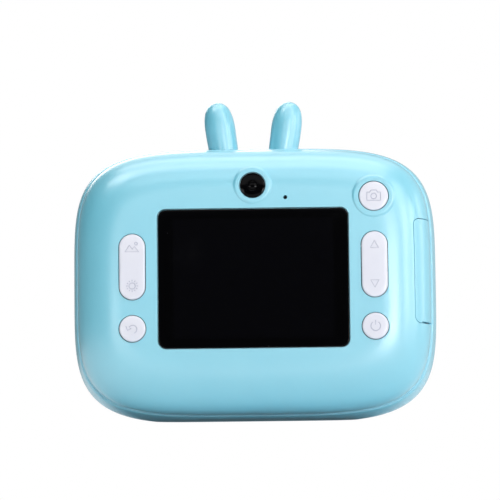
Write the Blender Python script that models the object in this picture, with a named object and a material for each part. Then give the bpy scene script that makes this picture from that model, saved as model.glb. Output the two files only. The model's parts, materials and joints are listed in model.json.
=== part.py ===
# Kids' digital camera: a pillow-shaped two-part case with rabbit ears, a screen and five keys
# on the rear, a port door in the right side, and the electronics inside.
#
# Frame: metres, +Z up. The rear, with the screen, faces -Y and the lens faces +Y. The origin is
# under the middle of the object, on the surface that it stands on.

import math

import bmesh
import bpy
from mathutils import Matrix, Vector

MM = 0.001
GAP = 0.3 * MM  # clearance between neighbouring pieces

# Outline of the case: a superellipse, whose lowest strip is trimmed flat.
HALF_WIDTH = 56.5 * MM
HALF_HEIGHT = 42.9 * MM
OUTLINE_POWER = 4.35
OUTLINE_POINTS = 52
BASE_TRIM = 0.8 * MM
CENTRE_Z = HALF_HEIGHT - BASE_TRIM
TOP_Z = CENTRE_Z + HALF_HEIGHT

# Depths along Y. The keys and the lens bezel stand proud of the faces by different amounts.
REAR_FACE = -19.6 * MM
SEAM = -5.6 * MM
WIDEST = 4.4 * MM
FRONT_FACE = 16.4 * MM
KEY_FACE = -20.4 * MM
BEZEL_FACE = 20.4 * MM

WALL = 2.4 * MM
RIM_INSET = 2.0 * MM  # the rear shell is smaller than the widest outline by this
LEDGE_INSET = 1.2 * MM  # the front shell starts at the seam with this inset
SHOULDER_WIDTH = 15.0 * MM
SHOULDER_DEPTH = 12.0 * MM
SHOULDER_POWER = 2.2
SHOULDER_STEPS = 6
FLARE_STEPS = 3

REAR_INSIDE = REAR_FACE + WALL
FRONT_INSIDE = FRONT_FACE - WALL
FRONT_START = SEAM + GAP

# Rear face
SCREEN_Z = CENTRE_Z - 0.15 * MM
SCREEN_SIZE = (58.1 * MM, 42.6 * MM)
SCREEN_RADIUS = 2.4 * MM
SCREEN_THICK = 1.2 * MM
SCREEN_SUNK = 0.2 * MM
SCREEN_LEDGE = 2.3 * MM  # width of the ledge that the window is glued to
RING_FACE = REAR_FACE - 0.4 * MM  # face of the raised rings round the shutter key and selfie lens
SELFIE_Z = 70.5 * MM
SELFIE_RADIUS = 3.8 * MM
SELFIE_RING_RADIUS = 5.6 * MM
MIC_PLACE = (10.0 * MM, 66.7 * MM)
KEY_X = 37.0 * MM
SHUTTER_Z = 66.7 * MM
SHUTTER_RADIUS = 4.38 * MM
SHUTTER_RING_RADIUS = 6.3 * MM
ROUND_KEY_Z = 26.8 * MM
ROUND_KEY_RADIUS = 3.95 * MM
ROCKER_Z = 45.75 * MM
ROCKER_LENGTH = 19.5 * MM
ROCKER_WIDTH = 7.75 * MM
ROCKER_END_GAP = 0.45 * MM
ROCKER_PIVOT_Y = -16.2 * MM
ROCKER_CAP_BACK = -16.6 * MM
ROCKER_AXLE_RADIUS = 0.8 * MM
ROCKER_AXLE_REACH = 6.3 * MM
SWITCH_REACH = 6.5 * MM  # from a rocker's middle to the switch under each end
KEY_FLANGE = 0.9 * MM
STEM_RADIUS = 1.3 * MM
STEM_END = -13.9 * MM

# Boards and switches
KEY_POST_X = 32.6 * MM
KEY_POST_HEIGHTS = (33.0 * MM, 59.5 * MM)
BOARD_REAR = -10.6 * MM
BOARD_THICK = 1.0 * MM
SWITCH_SIZE = 5.2 * MM
SWITCH_THICK = 1.6 * MM
SWITCH_TRAVEL_PART = 0.6 * MM
PLUNGER_RADIUS = 1.2 * MM

# Port door, hinged along its front edge
HINGE_X = 52.95 * MM
HINGE_Y = -8.4 * MM
DOOR_LOW = 28.0 * MM
DOOR_HIGH = 60.0 * MM
DOOR_REACH = 9.4 * MM  # from the hinge axis to the door's free edge
DOOR_CORNER = 2.0 * MM
DOOR_THICK = 1.5 * MM
KNUCKLE_RADIUS = 1.3 * MM
PIN_RADIUS = 0.4 * MM
PIN_HOLE_RADIUS = 0.62 * MM
PIN_OVERRUN = 1.5 * MM
PORT_WALL = 2.0 * MM
USB_PLACE = (-12.2 * MM, 53.3 * MM)
CARD_PLACE = (-11.65 * MM, 38.2 * MM)
SOCKET_MOUTH_X = 50.3 * MM

# Front
BEZEL_RADIUS = 19.0 * MM
BEZEL_NECK_RADIUS = 15.7 * MM
LENS_WINDOW_RADIUS = 13.0 * MM
FLASH_PLACE = (-25.0 * MM, 61.0 * MM)
FLASH_RADIUS = 2.6 * MM
SPEAKER_PLACE = (-33.5 * MM, 30.0 * MM)
SPEAKER_RADIUS = 10.0 * MM
SCREW_PLACES = ((-40.0, 16.0), (40.0, 16.0), (-26.0, 74.5), (26.0, 74.5))
BOARD_SCREW_PLACES = ((-24.0, 17.3), (24.0, 17.3), (-21.0, 66.7), (21.0, 66.7))

# Ears
EAR_Y = 4.4 * MM
EAR_NECK_X = 9.6 * MM
EAR_NECK_RADIUS = 2.6 * MM
EAR_FLANGE_RADIUS = 3.6 * MM

BODY_BLUE = (0.40, 0.76, 0.88)
KEY_WHITE = (0.86, 0.86, 0.93)
GLASS_BLACK = (0.006, 0.006, 0.009)
BOARD_GREEN = (0.02, 0.16, 0.08)
FLEX_AMBER = (0.45, 0.20, 0.03)
STEEL_GREY = (0.55, 0.55, 0.56)


def material(name, colour, roughness, metallic=0.0):
    found = bpy.data.materials.get(name)
    if found:
        return found
    made = bpy.data.materials.new(name)
    made.use_nodes = True
    shader = made.node_tree.nodes["Principled BSDF"]
    shader.inputs["Base Color"].default_value = (*colour, 1.0)
    shader.inputs["Roughness"].default_value = roughness
    shader.inputs["Metallic"].default_value = metallic
    made.diffuse_color = (*colour, 1.0)
    return made


def body_plastic():
    return material("body_plastic", BODY_BLUE, 0.45)


def key_plastic():
    return material("key_plastic", KEY_WHITE, 0.35)


def dark_glass():
    return material("dark_glass", GLASS_BLACK, 0.08)


def ear_silicone():
    return material("ear_silicone", BODY_BLUE, 0.55)


def black_plastic():
    return material("black_plastic", (0.02, 0.02, 0.022), 0.5)


def circuit_board():
    return material("circuit_board", BOARD_GREEN, 0.45)


def flex_film():
    return material("flex_film", FLEX_AMBER, 0.4)


def steel():
    return material("steel", STEEL_GREY, 0.3, 1.0)


def make_object(name, bm, mat, place, smooth=True):
    """An object whose mesh is bm, in coordinates about place."""
    bmesh.ops.recalc_face_normals(bm, faces=bm.faces)
    mesh = bpy.data.meshes.new(name)
    bm.to_mesh(mesh)
    bm.free()
    if smooth:
        mesh.shade_smooth()
        mesh.set_sharp_from_angle(angle=math.radians(35))
    mesh.materials.append(mat)
    made = bpy.data.objects.new(name, mesh)
    made.location = place
    bpy.context.scene.collection.objects.link(made)
    return made


def helper(made):
    """Marks an object that only shapes another one."""
    made.hide_render = True
    made.display_type = "WIRE"
    return made


def combine(target, other, operation):
    step = target.modifiers.new(operation.lower(), "BOOLEAN")
    step.operation = operation
    step.solver = "EXACT"
    step.object = helper(other)


def cut(target, *tools):
    for tool in tools:
        combine(target, tool, "DIFFERENCE")


def join(target, *others):
    for other in others:
        combine(target, other, "UNION")


def trim_to(target, other):
    combine(target, other, "INTERSECT")


def loft(name, rings, mat, place=(0.0, 0.0, 0.0), closed_loop=False):
    """Skins rings of equal length, with a face over each end, or end to end as a closed loop."""
    bm = bmesh.new()
    rows = [[bm.verts.new(point) for point in ring] for ring in rings]
    count = len(rows[0])
    pairs = list(zip(rows, rows[1:]))
    if closed_loop:
        pairs.append((rows[-1], rows[0]))
    for first, second in pairs:
        for i in range(count):
            j = (i + 1) % count
            bm.faces.new((first[i], first[j], second[j], second[i]))
    if not closed_loop:
        bm.faces.new(rows[0])
        bm.faces.new(rows[-1])
    return make_object(name, bm, mat, place)


def box(name, centre, size, mat, bevel=0.0):
    bm = bmesh.new()
    bmesh.ops.create_cube(bm, size=1.0)
    bmesh.ops.scale(bm, vec=size, verts=bm.verts)
    if bevel:
        bmesh.ops.bevel(bm, geom=bm.edges[:], offset=bevel, segments=1, affect="EDGES")
    return make_object(name, bm, mat, centre, smooth=False)


def box_between(name, low, high, mat):
    low = Vector(low)
    high = Vector(high)
    return box(name, (low + high) / 2, high - low, mat)


def turning(axis):
    """The rotation that takes +Z to the named axis."""
    return Vector((0, 0, 1)).rotation_difference(Vector(axis)).to_matrix().to_4x4()


def rod(name, centre, axis, radius, length, mat, sides=20):
    bm = bmesh.new()
    bmesh.ops.create_cone(
        bm, cap_ends=True, segments=sides, radius1=radius, radius2=radius, depth=length
    )
    bmesh.ops.transform(bm, matrix=turning(axis), verts=bm.verts)
    return make_object(name, bm, mat, centre)


def rod_along_y(name, x, z, y_from, y_to, radius, mat, sides=20):
    middle = (x, (y_from + y_to) / 2, z)
    return rod(name, middle, (0, 1, 0), radius, abs(y_to - y_from), mat, sides)


def turned(name, centre, axis, profile, mat, sides=24):
    """Turns a profile of (radius, height) points about an axis through centre."""
    rings = []
    for radius, height in profile:
        ring = []
        for i in range(sides):
            angle = 2 * math.pi * i / sides
            ring.append(Vector((radius * math.cos(angle), radius * math.sin(angle), height)))
        rings.append([turning(axis) @ point for point in ring])
    return loft(name, rings, mat, centre)


def rounded_outline(width, height, radius, corner_steps=4):
    """Points (x, z) of a rectangle with round corners, about its middle."""
    points = []
    for quarter in range(4):
        middle_x = (width / 2 - radius) * (1 if quarter in (0, 3) else -1)
        middle_z = (height / 2 - radius) * (1 if quarter in (0, 1) else -1)
        for step in range(corner_steps + 1):
            angle = math.radians(90 * (quarter + step / corner_steps))
            points.append(
                (middle_x + radius * math.cos(angle), middle_z + radius * math.sin(angle))
            )
    return points


def merged(points, closest=0.001 * MM):
    """The outline without points that repeat the one before."""
    kept = []
    for point in points:
        if not kept or math.dist(point, kept[-1]) > closest:
            kept.append(point)
    if math.dist(kept[0], kept[-1]) <= closest:
        kept.pop()
    return kept


def slab(name, x, z, y_from, y_to, width, height, radius, mat, soften=0.0):
    """A rounded rectangle in XZ, from y_from to y_to, its y_from edge softened by soften."""
    levels = [(y_from, soften), (y_from + soften, 0.0), (y_to, 0.0)]
    if not soften:
        levels = [(y_from, 0.0), (y_to, 0.0)]
    rings = []
    for y, inset in levels:
        outline = merged(
            rounded_outline(width - 2 * inset, height - 2 * inset, radius - inset)
        )
        rings.append([Vector((px, y - y_from, pz)) for px, pz in outline])
    return loft(name, rings, mat, (x, y_from, z))


def case_ring(inset, y):
    """The case's outline at depth y, smaller than the widest outline by inset."""
    ring = []
    for i in range(OUTLINE_POINTS):
        angle = 2 * math.pi * i / OUTLINE_POINTS
        across = math.copysign(abs(math.cos(angle)) ** (2 / OUTLINE_POWER), math.cos(angle))
        up = math.copysign(abs(math.sin(angle)) ** (2 / OUTLINE_POWER), math.sin(angle))
        ring.append(Vector(((HALF_WIDTH - inset) * across, y, (HALF_HEIGHT - inset) * up)))
    return ring


def shoulder(offset):
    """(inset, depth) along the soft shoulder of a surface that lies offset inside the outer one."""
    points = []
    for step in range(SHOULDER_STEPS + 1):
        turn = math.radians(90 * step / SHOULDER_STEPS)
        round_power = 2 / SHOULDER_POWER
        inset = (SHOULDER_WIDTH - offset) * (1 - math.sin(turn) ** round_power)
        depth = (SHOULDER_DEPTH - offset) * (1 - max(math.cos(turn), 0.0) ** round_power)
        points.append((offset + inset, offset + depth))
    return points


def rear_profile(offset):
    return [(RIM_INSET + inset, REAR_FACE + depth) for inset, depth in shoulder(offset)]


def front_profile(offset):
    """From the seam, out along the flare to the widest outline, and over the front shoulder."""
    points = []
    for step in range(FLARE_STEPS):
        share = step / FLARE_STEPS
        inset = LEDGE_INSET * (1 - math.sin(math.radians(90 * share)))
        points.append((offset + inset, FRONT_START + share * (WIDEST - FRONT_START)))
    for inset, depth in reversed(shoulder(offset)):
        points.append((inset, FRONT_FACE - depth))
    return points


def case_loft(name, profile, mat):
    rings = [case_ring(inset, y) for inset, y in profile]
    return loft(name, rings, mat, (0, 0, CENTRE_Z))


def rear_solid(name, offset, end_y):
    """The rear half as a solid that lies offset inside its outer surface, up to end_y."""
    return case_loft(name, rear_profile(offset) + [(RIM_INSET + offset, end_y)], body_plastic())


def hinge_disc(name, grow, high_y):
    """A thick disc with round edges about the hinge axis, cut off at high_y.

    Its rim turns into itself, so a door of this outline keeps its clearance as it swings.
    """
    radius = DOOR_REACH + grow
    corner = DOOR_CORNER + grow
    half = (DOOR_HIGH - DOOR_LOW) / 2 + grow
    profile = []
    for step in range(5):
        angle = math.radians(90 * step / 4)
        profile.append((radius - corner * (1 - math.sin(angle)), -half + corner * (1 - math.cos(angle))))
    profile += [(r, -h) for r, h in reversed(profile)]
    middle = (HINGE_X, HINGE_Y, (DOOR_LOW + DOOR_HIGH) / 2)
    disc = turned(name, middle, (0, 0, 1), profile, body_plastic(), sides=48)
    beyond = 40 * MM
    cut(
        disc,
        box_between(
            name + "_front_trim",
            (HINGE_X - beyond, high_y, 0),
            (HINGE_X + beyond, high_y + beyond, TOP_Z),
            body_plastic(),
        ),
    )
    return disc


def port_wall():
    """The floor behind the port door, with holes for the two sockets and a groove for the hinge."""
    floor = rear_solid("port_wall", DOOR_THICK + GAP, SEAM + MM)
    cut(floor, rear_solid("port_wall_inside", DOOR_THICK + GAP + PORT_WALL, SEAM + 2 * MM))
    trim_to(floor, hinge_disc("port_wall_outline", 1.5 * MM, SEAM - GAP))
    middle_z = (DOOR_LOW + DOOR_HIGH) / 2
    height = DOOR_HIGH - DOOR_LOW + 2 * GAP
    cut(
        floor,
        rod(
            "hinge_groove",
            (HINGE_X, HINGE_Y, middle_z),
            (0, 0, 1),
            KNUCKLE_RADIUS + GAP,
            height,
            body_plastic(),
        ),
        box("usb_hole", (SOCKET_MOUTH_X, *USB_PLACE), (8 * MM, 3.3 * MM, 8.2 * MM), body_plastic()),
        box("card_hole", (SOCKET_MOUTH_X, *CARD_PLACE), (8 * MM, 2.2 * MM, 12.7 * MM), body_plastic()),
    )
    return floor


def key_holes(shell):
    cut(
        shell,
        slab(
            "screen_opening", 0, SCREEN_Z, REAR_FACE - MM, REAR_FACE + SCREEN_SUNK + SCREEN_THICK + GAP,
            SCREEN_SIZE[0] + 2 * GAP, SCREEN_SIZE[1] + 2 * GAP, SCREEN_RADIUS + GAP, body_plastic(),
        ),
        slab(
            "screen_hole", 0, SCREEN_Z, REAR_FACE - MM, REAR_INSIDE + MM,
            SCREEN_SIZE[0] - 2 * SCREEN_LEDGE, SCREEN_SIZE[1] - 2 * SCREEN_LEDGE, 1.0 * MM, body_plastic(),
        ),
    )
    for side in (-1, 1):
        cut(
            shell,
            slab(
                f"rocker_hole{side}", side * KEY_X, ROCKER_Z, REAR_FACE - MM, REAR_INSIDE + MM,
                ROCKER_WIDTH + 2 * GAP, ROCKER_LENGTH + 2 * ROCKER_END_GAP, ROCKER_WIDTH / 2 + GAP,
                body_plastic(),
            ),
            rod_along_y(
                f"round_key_hole{side}", side * KEY_X, ROUND_KEY_Z, REAR_FACE - MM, REAR_INSIDE + MM,
                ROUND_KEY_RADIUS + GAP, body_plastic(), 24,
            ),
        )
    cut(
        shell,
        rod_along_y(
            "shutter_hole", KEY_X, SHUTTER_Z, RING_FACE - MM, REAR_INSIDE + MM,
            SHUTTER_RADIUS + GAP, body_plastic(), 24,
        ),
        rod_along_y(
            "shutter_flange_space", KEY_X, SHUTTER_Z, REAR_INSIDE, STEM_END,
            SHUTTER_RADIUS + KEY_FLANGE + GAP, body_plastic(), 24,
        ),
        rod_along_y(
            "selfie_recess", 0, SELFIE_Z, RING_FACE - MM, RING_FACE + 1.5 * MM,
            SELFIE_RADIUS + GAP, body_plastic(), 24,
        ),
        rod_along_y(
            "selfie_hole", 0, SELFIE_Z, RING_FACE - MM, REAR_INSIDE + 3 * MM, 2.6 * MM, body_plastic(),
        ),
        rod_along_y(
            "mic_hole", *MIC_PLACE, REAR_FACE - MM, REAR_INSIDE + 2 * MM, 0.5 * MM, body_plastic(), 10,
        ),
    )


def rear_shell():
    outer = rear_profile(0.0) + [(RIM_INSET, SEAM)]
    inner = rear_profile(WALL) + [(RIM_INSET + WALL, SEAM)]
    shell = case_loft("rear_shell", outer + inner[::-1], body_plastic())
    for name, x, z, radius, y_to in (
        ("selfie_ring", 0.0, SELFIE_Z, SELFIE_RING_RADIUS, REAR_INSIDE - 0.1 * MM),
        ("shutter_ring", KEY_X, SHUTTER_Z, SHUTTER_RING_RADIUS, -15.2 * MM),
    ):
        soften = 0.5 * MM
        profile = [
            (radius - soften, RING_FACE),
            (radius, RING_FACE + soften),
            (radius, y_to),
        ]
        join(shell, turned(name, (x, 0, z), (0, 1, 0), profile, body_plastic(), 24))
    for i, (x, z) in enumerate(SCREW_PLACES):
        join(
            shell,
            rod_along_y(
                f"case_boss{i}", x * MM, z * MM, REAR_FACE + 3.0 * MM, SEAM - GAP, 3.2 * MM,
                body_plastic(), 16
            ),
        )
    for i, (x, z) in enumerate(BOARD_SCREW_PLACES):
        join(
            shell,
            rod_along_y(
                f"board_boss{i}", x * MM, z * MM, REAR_FACE + 1.4 * MM, BOARD_REAR - GAP, 2.1 * MM,
                body_plastic(), 12,
            ),
        )
    for side in (-1, 1):
        for i, z in enumerate(KEY_POST_HEIGHTS):
            join(
                shell,
                rod_along_y(
                    f"key_board_post{side}_{i}", side * KEY_POST_X, z, REAR_FACE + 1.4 * MM,
                    BOARD_REAR + BOARD_THICK + 0.6 * MM, 0.9 * MM, body_plastic(), 8,
                ),
            )
        for end in (-1, 1):
            cradle_x = side * KEY_X + end * (ROCKER_AXLE_REACH - 0.6 * MM)
            join(
                shell,
                box_between(
                    f"rocker_cradle{side}_{end}",
                    (cradle_x - 0.5 * MM, REAR_FACE + 1.4 * MM, ROCKER_Z - 2.2 * MM),
                    (cradle_x + 0.5 * MM, ROCKER_PIVOT_Y + 1.0 * MM, ROCKER_Z + 2.2 * MM),
                    body_plastic(),
                ),
            )
        cut(
            shell,
            box(
                f"axle_slot{side}",
                (side * KEY_X, ROCKER_PIVOT_Y + 1.0 * MM, ROCKER_Z),
                (2 * ROCKER_AXLE_REACH + 2 * GAP, 2 * (ROCKER_AXLE_RADIUS + GAP) + 2.0 * MM,
                 2 * (ROCKER_AXLE_RADIUS + GAP)),
                body_plastic(),
            ),
        )
    key_holes(shell)
    cut(shell, hinge_disc("door_opening", GAP, -6.55 * MM))
    join(shell, port_wall())
    for i, (x, z) in enumerate(SCREW_PLACES):
        cut(
            shell,
            rod_along_y(
                f"case_screw_hole{i}", x * MM, z * MM, -14.6 * MM, SEAM + MM, 1.4 * MM, body_plastic(), 12
            ),
        )
    for i, (x, z) in enumerate(BOARD_SCREW_PLACES):
        cut(
            shell,
            rod_along_y(
                f"board_screw_hole{i}", x * MM, z * MM, -16.0 * MM, BOARD_REAR, 1.1 * MM, body_plastic(), 10
            ),
        )
    pin_middle = (HINGE_X, HINGE_Y, (DOOR_LOW + DOOR_HIGH) / 2)
    pin_space = DOOR_HIGH - DOOR_LOW + 2 * (PIN_OVERRUN + GAP)
    cut(
        shell,
        rod("pin_hole", pin_middle, (0, 0, 1), PIN_HOLE_RADIUS + 0.1 * MM, pin_space, body_plastic(), 12),
    )
    return shell


def front_shell():
    outer = front_profile(0.0)
    inner = front_profile(WALL)
    shell = case_loft("front_shell", outer[::-1] + inner, body_plastic())
    lip_section = [(4.7, -7.6), (5.8, -7.6), (5.8, -3.0), (3.0, -3.0), (3.0, -5.2), (4.7, -5.2)]
    lip_rings = [case_ring(inset * MM, y * MM) for inset, y in lip_section]
    lip = loft("alignment_lip", lip_rings, body_plastic(), (0, 0, CENTRE_Z), closed_loop=True)
    cut(
        lip,
        box_between(
            "lip_gap_at_ports",
            (40 * MM, -8 * MM, DOOR_LOW - 4 * MM),
            (60 * MM, -5.25 * MM, DOOR_HIGH + 4 * MM),
            body_plastic(),
        ),
    )
    join(shell, lip)
    for i, (x, z) in enumerate(SCREW_PLACES):
        join(
            shell,
            rod_along_y(
                f"screw_post{i}", x * MM, z * MM, FRONT_START, 15.2 * MM, 4.0 * MM, body_plastic(), 16
            ),
        )
    for side in (-1, 1):
        join(
            shell,
            box_between(
                f"battery_rib{side}",
                (side * 22 * MM - 0.8 * MM, 5.6 * MM, 28 * MM),
                (side * 22 * MM + 0.8 * MM, FRONT_INSIDE + 0.8 * MM, 56 * MM),
                body_plastic(),
            ),
        )
    for i, (x, z) in enumerate(SCREW_PLACES):
        cut(
            shell,
            rod_along_y(
                f"screw_recess{i}", x * MM, z * MM, -1.5 * MM, FRONT_FACE + MM, 2.8 * MM, body_plastic(), 16
            ),
            rod_along_y(
                f"screw_way{i}", x * MM, z * MM, FRONT_START - MM, -MM, 1.4 * MM, body_plastic(), 12
            ),
        )
    cut(
        shell,
        rod_along_y(
            "bezel_hole", 0, CENTRE_Z, FRONT_INSIDE - MM, FRONT_FACE + MM,
            BEZEL_NECK_RADIUS + GAP, body_plastic(), 40,
        ),
        rod_along_y(
            "flash_hole", *FLASH_PLACE, FRONT_INSIDE - MM, FRONT_FACE + MM, FLASH_RADIUS + GAP,
            body_plastic(), 20
        ),
    )
    for i in range(7):
        angle = math.radians(60 * i)
        reach = 3.4 * MM if i else 0.0
        x = SPEAKER_PLACE[0] + reach * math.cos(angle)
        z = SPEAKER_PLACE[1] + reach * math.sin(angle)
        cut(
            shell,
            rod_along_y(
                f"sound_hole{i}", x, z, FRONT_INSIDE - MM, FRONT_FACE + MM, 0.8 * MM, body_plastic(), 8
            ),
        )
    for side in (-1, 1):
        cut(
            shell,
            rod(
                f"ear_hole{side}", (side * EAR_NECK_X, EAR_Y, TOP_Z), (0, 0, 1),
                EAR_NECK_RADIUS + GAP, 8 * MM, body_plastic(), 16,
            ),
        )
    below = 20 * MM
    cut(
        shell,
        box_between(
            "base_cut", (-HALF_WIDTH, REAR_FACE, -below), (HALF_WIDTH, FRONT_FACE, 0), body_plastic()
        ),
    )
    return shell


def ear(name, side):
    """A rounded ear that leans outwards, with a neck and flange that hold it in the shell."""
    # (height above the top of the case, middle's distance from the centre plane, half width)
    sections = (
        (-2.4, 9.1, 4.55),
        (0.6, 9.5, 4.65),
        (4.6, 10.1, 4.75),
        (8.6, 10.6, 4.72),
        (11.6, 10.95, 4.2),
        (13.6, 11.1, 3.3),
        (14.8, 11.15, 2.0),
        (15.3, 11.15, 0.7),
    )
    rings = []
    for height, middle, half in sections:
        ring = []
        for i in range(20):
            angle = 2 * math.pi * i / 20
            x = side * middle * MM - side * EAR_NECK_X + half * MM * math.cos(angle)
            ring.append(Vector((x, 0.9 * half * MM * math.sin(angle), height * MM)))
        rings.append(ring)
    made = loft(name, rings, ear_silicone(), (side * EAR_NECK_X, EAR_Y, TOP_Z))
    grown = [(inset - GAP, y) for inset, y in front_profile(0.0)]
    cut(made, case_loft(name + "_seat", grown, body_plastic()))
    flange_top = -WALL - 1.0 * MM
    profile = [
        (EAR_FLANGE_RADIUS - 0.8 * MM, flange_top - 1.3 * MM),
        (EAR_FLANGE_RADIUS, flange_top),
        (EAR_NECK_RADIUS, flange_top),
        (EAR_NECK_RADIUS, 2.5 * MM),
    ]
    join(
        made,
        turned(name + "_neck", (side * EAR_NECK_X, EAR_Y, TOP_Z), (0, 0, 1), profile, ear_silicone(), 16),
    )
    return made


def round_key(name, x, z, radius):
    """A round key with its origin on its axis, at the rest position of its face."""
    profile = [
        (radius - 0.4 * MM, 0.0),
        (radius, 0.4 * MM),
        (radius, REAR_INSIDE + GAP - KEY_FACE),
        (radius + KEY_FLANGE, REAR_INSIDE + GAP - KEY_FACE),
        (radius + KEY_FLANGE, REAR_INSIDE + GAP + 0.9 * MM - KEY_FACE),
        (STEM_RADIUS, REAR_INSIDE + GAP + 0.9 * MM - KEY_FACE),
        (STEM_RADIUS, STEM_END - KEY_FACE),
    ]
    return turned(name, (x, KEY_FACE, z), (0, 1, 0), profile, key_plastic(), 28)


def rocker(name, side):
    """A long key with its origin on the axle that it rocks about."""
    x = side * KEY_X
    cap = slab(
        name, x, ROCKER_Z, KEY_FACE, ROCKER_CAP_BACK, ROCKER_WIDTH, ROCKER_LENGTH, ROCKER_WIDTH / 2,
        key_plastic(), 0.4 * MM,
    )
    move = Vector((x, ROCKER_PIVOT_Y, ROCKER_Z)) - Vector(cap.location)
    cap.data.transform(Matrix.Translation(-move))
    cap.location = (x, ROCKER_PIVOT_Y, ROCKER_Z)
    axle = rod(
        name + "_axle", (x, ROCKER_PIVOT_Y, ROCKER_Z), (1, 0, 0), ROCKER_AXLE_RADIUS,
        2 * ROCKER_AXLE_REACH, key_plastic(), 12,
    )
    join(cap, axle)
    for end in (-1, 1):
        stem_z = ROCKER_Z + end * SWITCH_REACH
        join(
            cap,
            rod_along_y(
                f"{name}_stem{end}", x, stem_z, ROCKER_CAP_BACK - 0.8 * MM, STEM_END, STEM_RADIUS,
                key_plastic(), 12
            ),
        )
    return cap


def port_door():
    """The door and its pin, hung on an empty that stands on the hinge axis."""
    hinge = bpy.data.objects.new("port_door_hinge", None)
    middle_z = (DOOR_LOW + DOOR_HIGH) / 2
    hinge.location = (HINGE_X, HINGE_Y, middle_z)
    bpy.context.scene.collection.objects.link(hinge)
    length = DOOR_HIGH - DOOR_LOW
    door = rod("port_door", (0, 0, 0), (0, 0, 1), KNUCKLE_RADIUS, length, body_plastic(), 24)
    leaf = rear_solid("port_door_leaf", 0.0, SEAM)
    cut(leaf, rear_solid("port_door_inside", DOOR_THICK, SEAM + MM))
    trim_to(leaf, hinge_disc("port_door_outline", 0.0, HINGE_Y + 0.25 * MM))
    join(door, leaf)
    bore = rod(
        "pin_bore",
        (HINGE_X, HINGE_Y, middle_z),
        (0, 0, 1),
        PIN_HOLE_RADIUS,
        1.2 * length,
        body_plastic(),
        12,
    )
    cut(door, bore)
    pin = rod("hinge_pin", (0, 0, 0), (0, 0, 1), PIN_RADIUS, length + 2 * PIN_OVERRUN, steel(), 12)
    door.parent = hinge
    pin.parent = hinge


def windows():
    slab(
        "screen_window", 0, SCREEN_Z, REAR_FACE + SCREEN_SUNK, REAR_FACE + SCREEN_SUNK + SCREEN_THICK,
        *SCREEN_SIZE, SCREEN_RADIUS, dark_glass(), 0.2 * MM,
    )
    rod_along_y(
        "rear_lens_window", 0, SELFIE_Z, RING_FACE + 0.2 * MM, RING_FACE + 1.2 * MM, SELFIE_RADIUS,
        dark_glass(), 24
    )
    bezel = [
        (BEZEL_RADIUS - 0.8 * MM, FRONT_FACE + GAP),
        (BEZEL_RADIUS, FRONT_FACE + 1.2 * MM),
        (BEZEL_RADIUS - 0.9 * MM, BEZEL_FACE - 1.0 * MM),
        (BEZEL_RADIUS - 2.4 * MM, BEZEL_FACE),
        (LENS_WINDOW_RADIUS + 1.2 * MM, BEZEL_FACE - 0.3 * MM),
        (LENS_WINDOW_RADIUS + GAP, BEZEL_FACE - 1.2 * MM),
        (LENS_WINDOW_RADIUS + GAP, 17.2 * MM),
        (LENS_WINDOW_RADIUS - 1.5 * MM, 17.2 * MM),
        (LENS_WINDOW_RADIUS - 1.5 * MM, 12.8 * MM),
        (BEZEL_NECK_RADIUS, 12.8 * MM),
        (BEZEL_NECK_RADIUS, FRONT_FACE + GAP),
    ]
    rings = []
    for radius, y in bezel:
        ring = []
        for i in range(40):
            angle = 2 * math.pi * i / 40
            ring.append(Vector((radius * math.cos(angle), y, radius * math.sin(angle))))
        rings.append(ring)
    loft("front_bezel", rings, key_plastic(), (0, 0, CENTRE_Z), closed_loop=True)
    rod_along_y(
        "front_lens_window", 0, CENTRE_Z, 17.5 * MM, 19.0 * MM, LENS_WINDOW_RADIUS, dark_glass(), 36
    )
    rod_along_y(
        "flash_window", *FLASH_PLACE, FRONT_INSIDE + 0.4 * MM, FRONT_FACE - 0.1 * MM, FLASH_RADIUS,
        material("flash_lens", (0.85, 0.86, 0.82), 0.2), 20,
    )


def screws():
    for i, (x, z) in enumerate(SCREW_PLACES):
        profile = [
            (2.3 * MM, 0.5 * MM), (2.3 * MM, -1.2 * MM), (1.1 * MM, -1.2 * MM), (1.1 * MM, -13.8 * MM)
        ]
        screw = turned(f"case_screw_{i + 1}", (x * MM, 0, z * MM), (0, 1, 0), profile, steel(), 16)
        for turn in (0, 1):
            arm = (2.4 * MM, 1.0 * MM, 0.5 * MM) if turn else (0.5 * MM, 1.0 * MM, 2.4 * MM)
            cut(screw, box(f"case_screw_slot{i}_{turn}", (x * MM, 0.3 * MM, z * MM), arm, steel()))
    head = BOARD_REAR + BOARD_THICK + GAP
    for i, (x, z) in enumerate(BOARD_SCREW_PLACES):
        profile = [(1.9 * MM, head + 1.2 * MM), (1.9 * MM, head), (0.8 * MM, head), (0.8 * MM, -15.6 * MM)]
        turned(f"board_screw_{i + 1}", (x * MM, 0, z * MM), (0, 1, 0), profile, steel(), 12)


def tact_switch(name, x, z):
    top = BOARD_REAR - GAP
    base = box(
        name, (x, top - SWITCH_THICK / 2, z), (SWITCH_SIZE, SWITCH_THICK, SWITCH_SIZE), black_plastic()
    )
    join(
        base,
        rod_along_y(
            name + "_plunger", x, z, top - SWITCH_THICK - SWITCH_TRAVEL_PART, top - 0.5 * MM,
            PLUNGER_RADIUS,
            black_plastic(), 12,
        ),
    )


def switches():
    tact_switch("tact_switch_shutter", KEY_X, SHUTTER_Z)
    tact_switch("tact_switch_up", KEY_X, ROCKER_Z + SWITCH_REACH)
    tact_switch("tact_switch_down", KEY_X, ROCKER_Z - SWITCH_REACH)
    tact_switch("tact_switch_power", KEY_X, ROUND_KEY_Z)
    tact_switch("tact_switch_mode", -KEY_X, ROCKER_Z + SWITCH_REACH)
    tact_switch("tact_switch_settings", -KEY_X, ROCKER_Z - SWITCH_REACH)
    tact_switch("tact_switch_back", -KEY_X, ROUND_KEY_Z)


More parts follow.
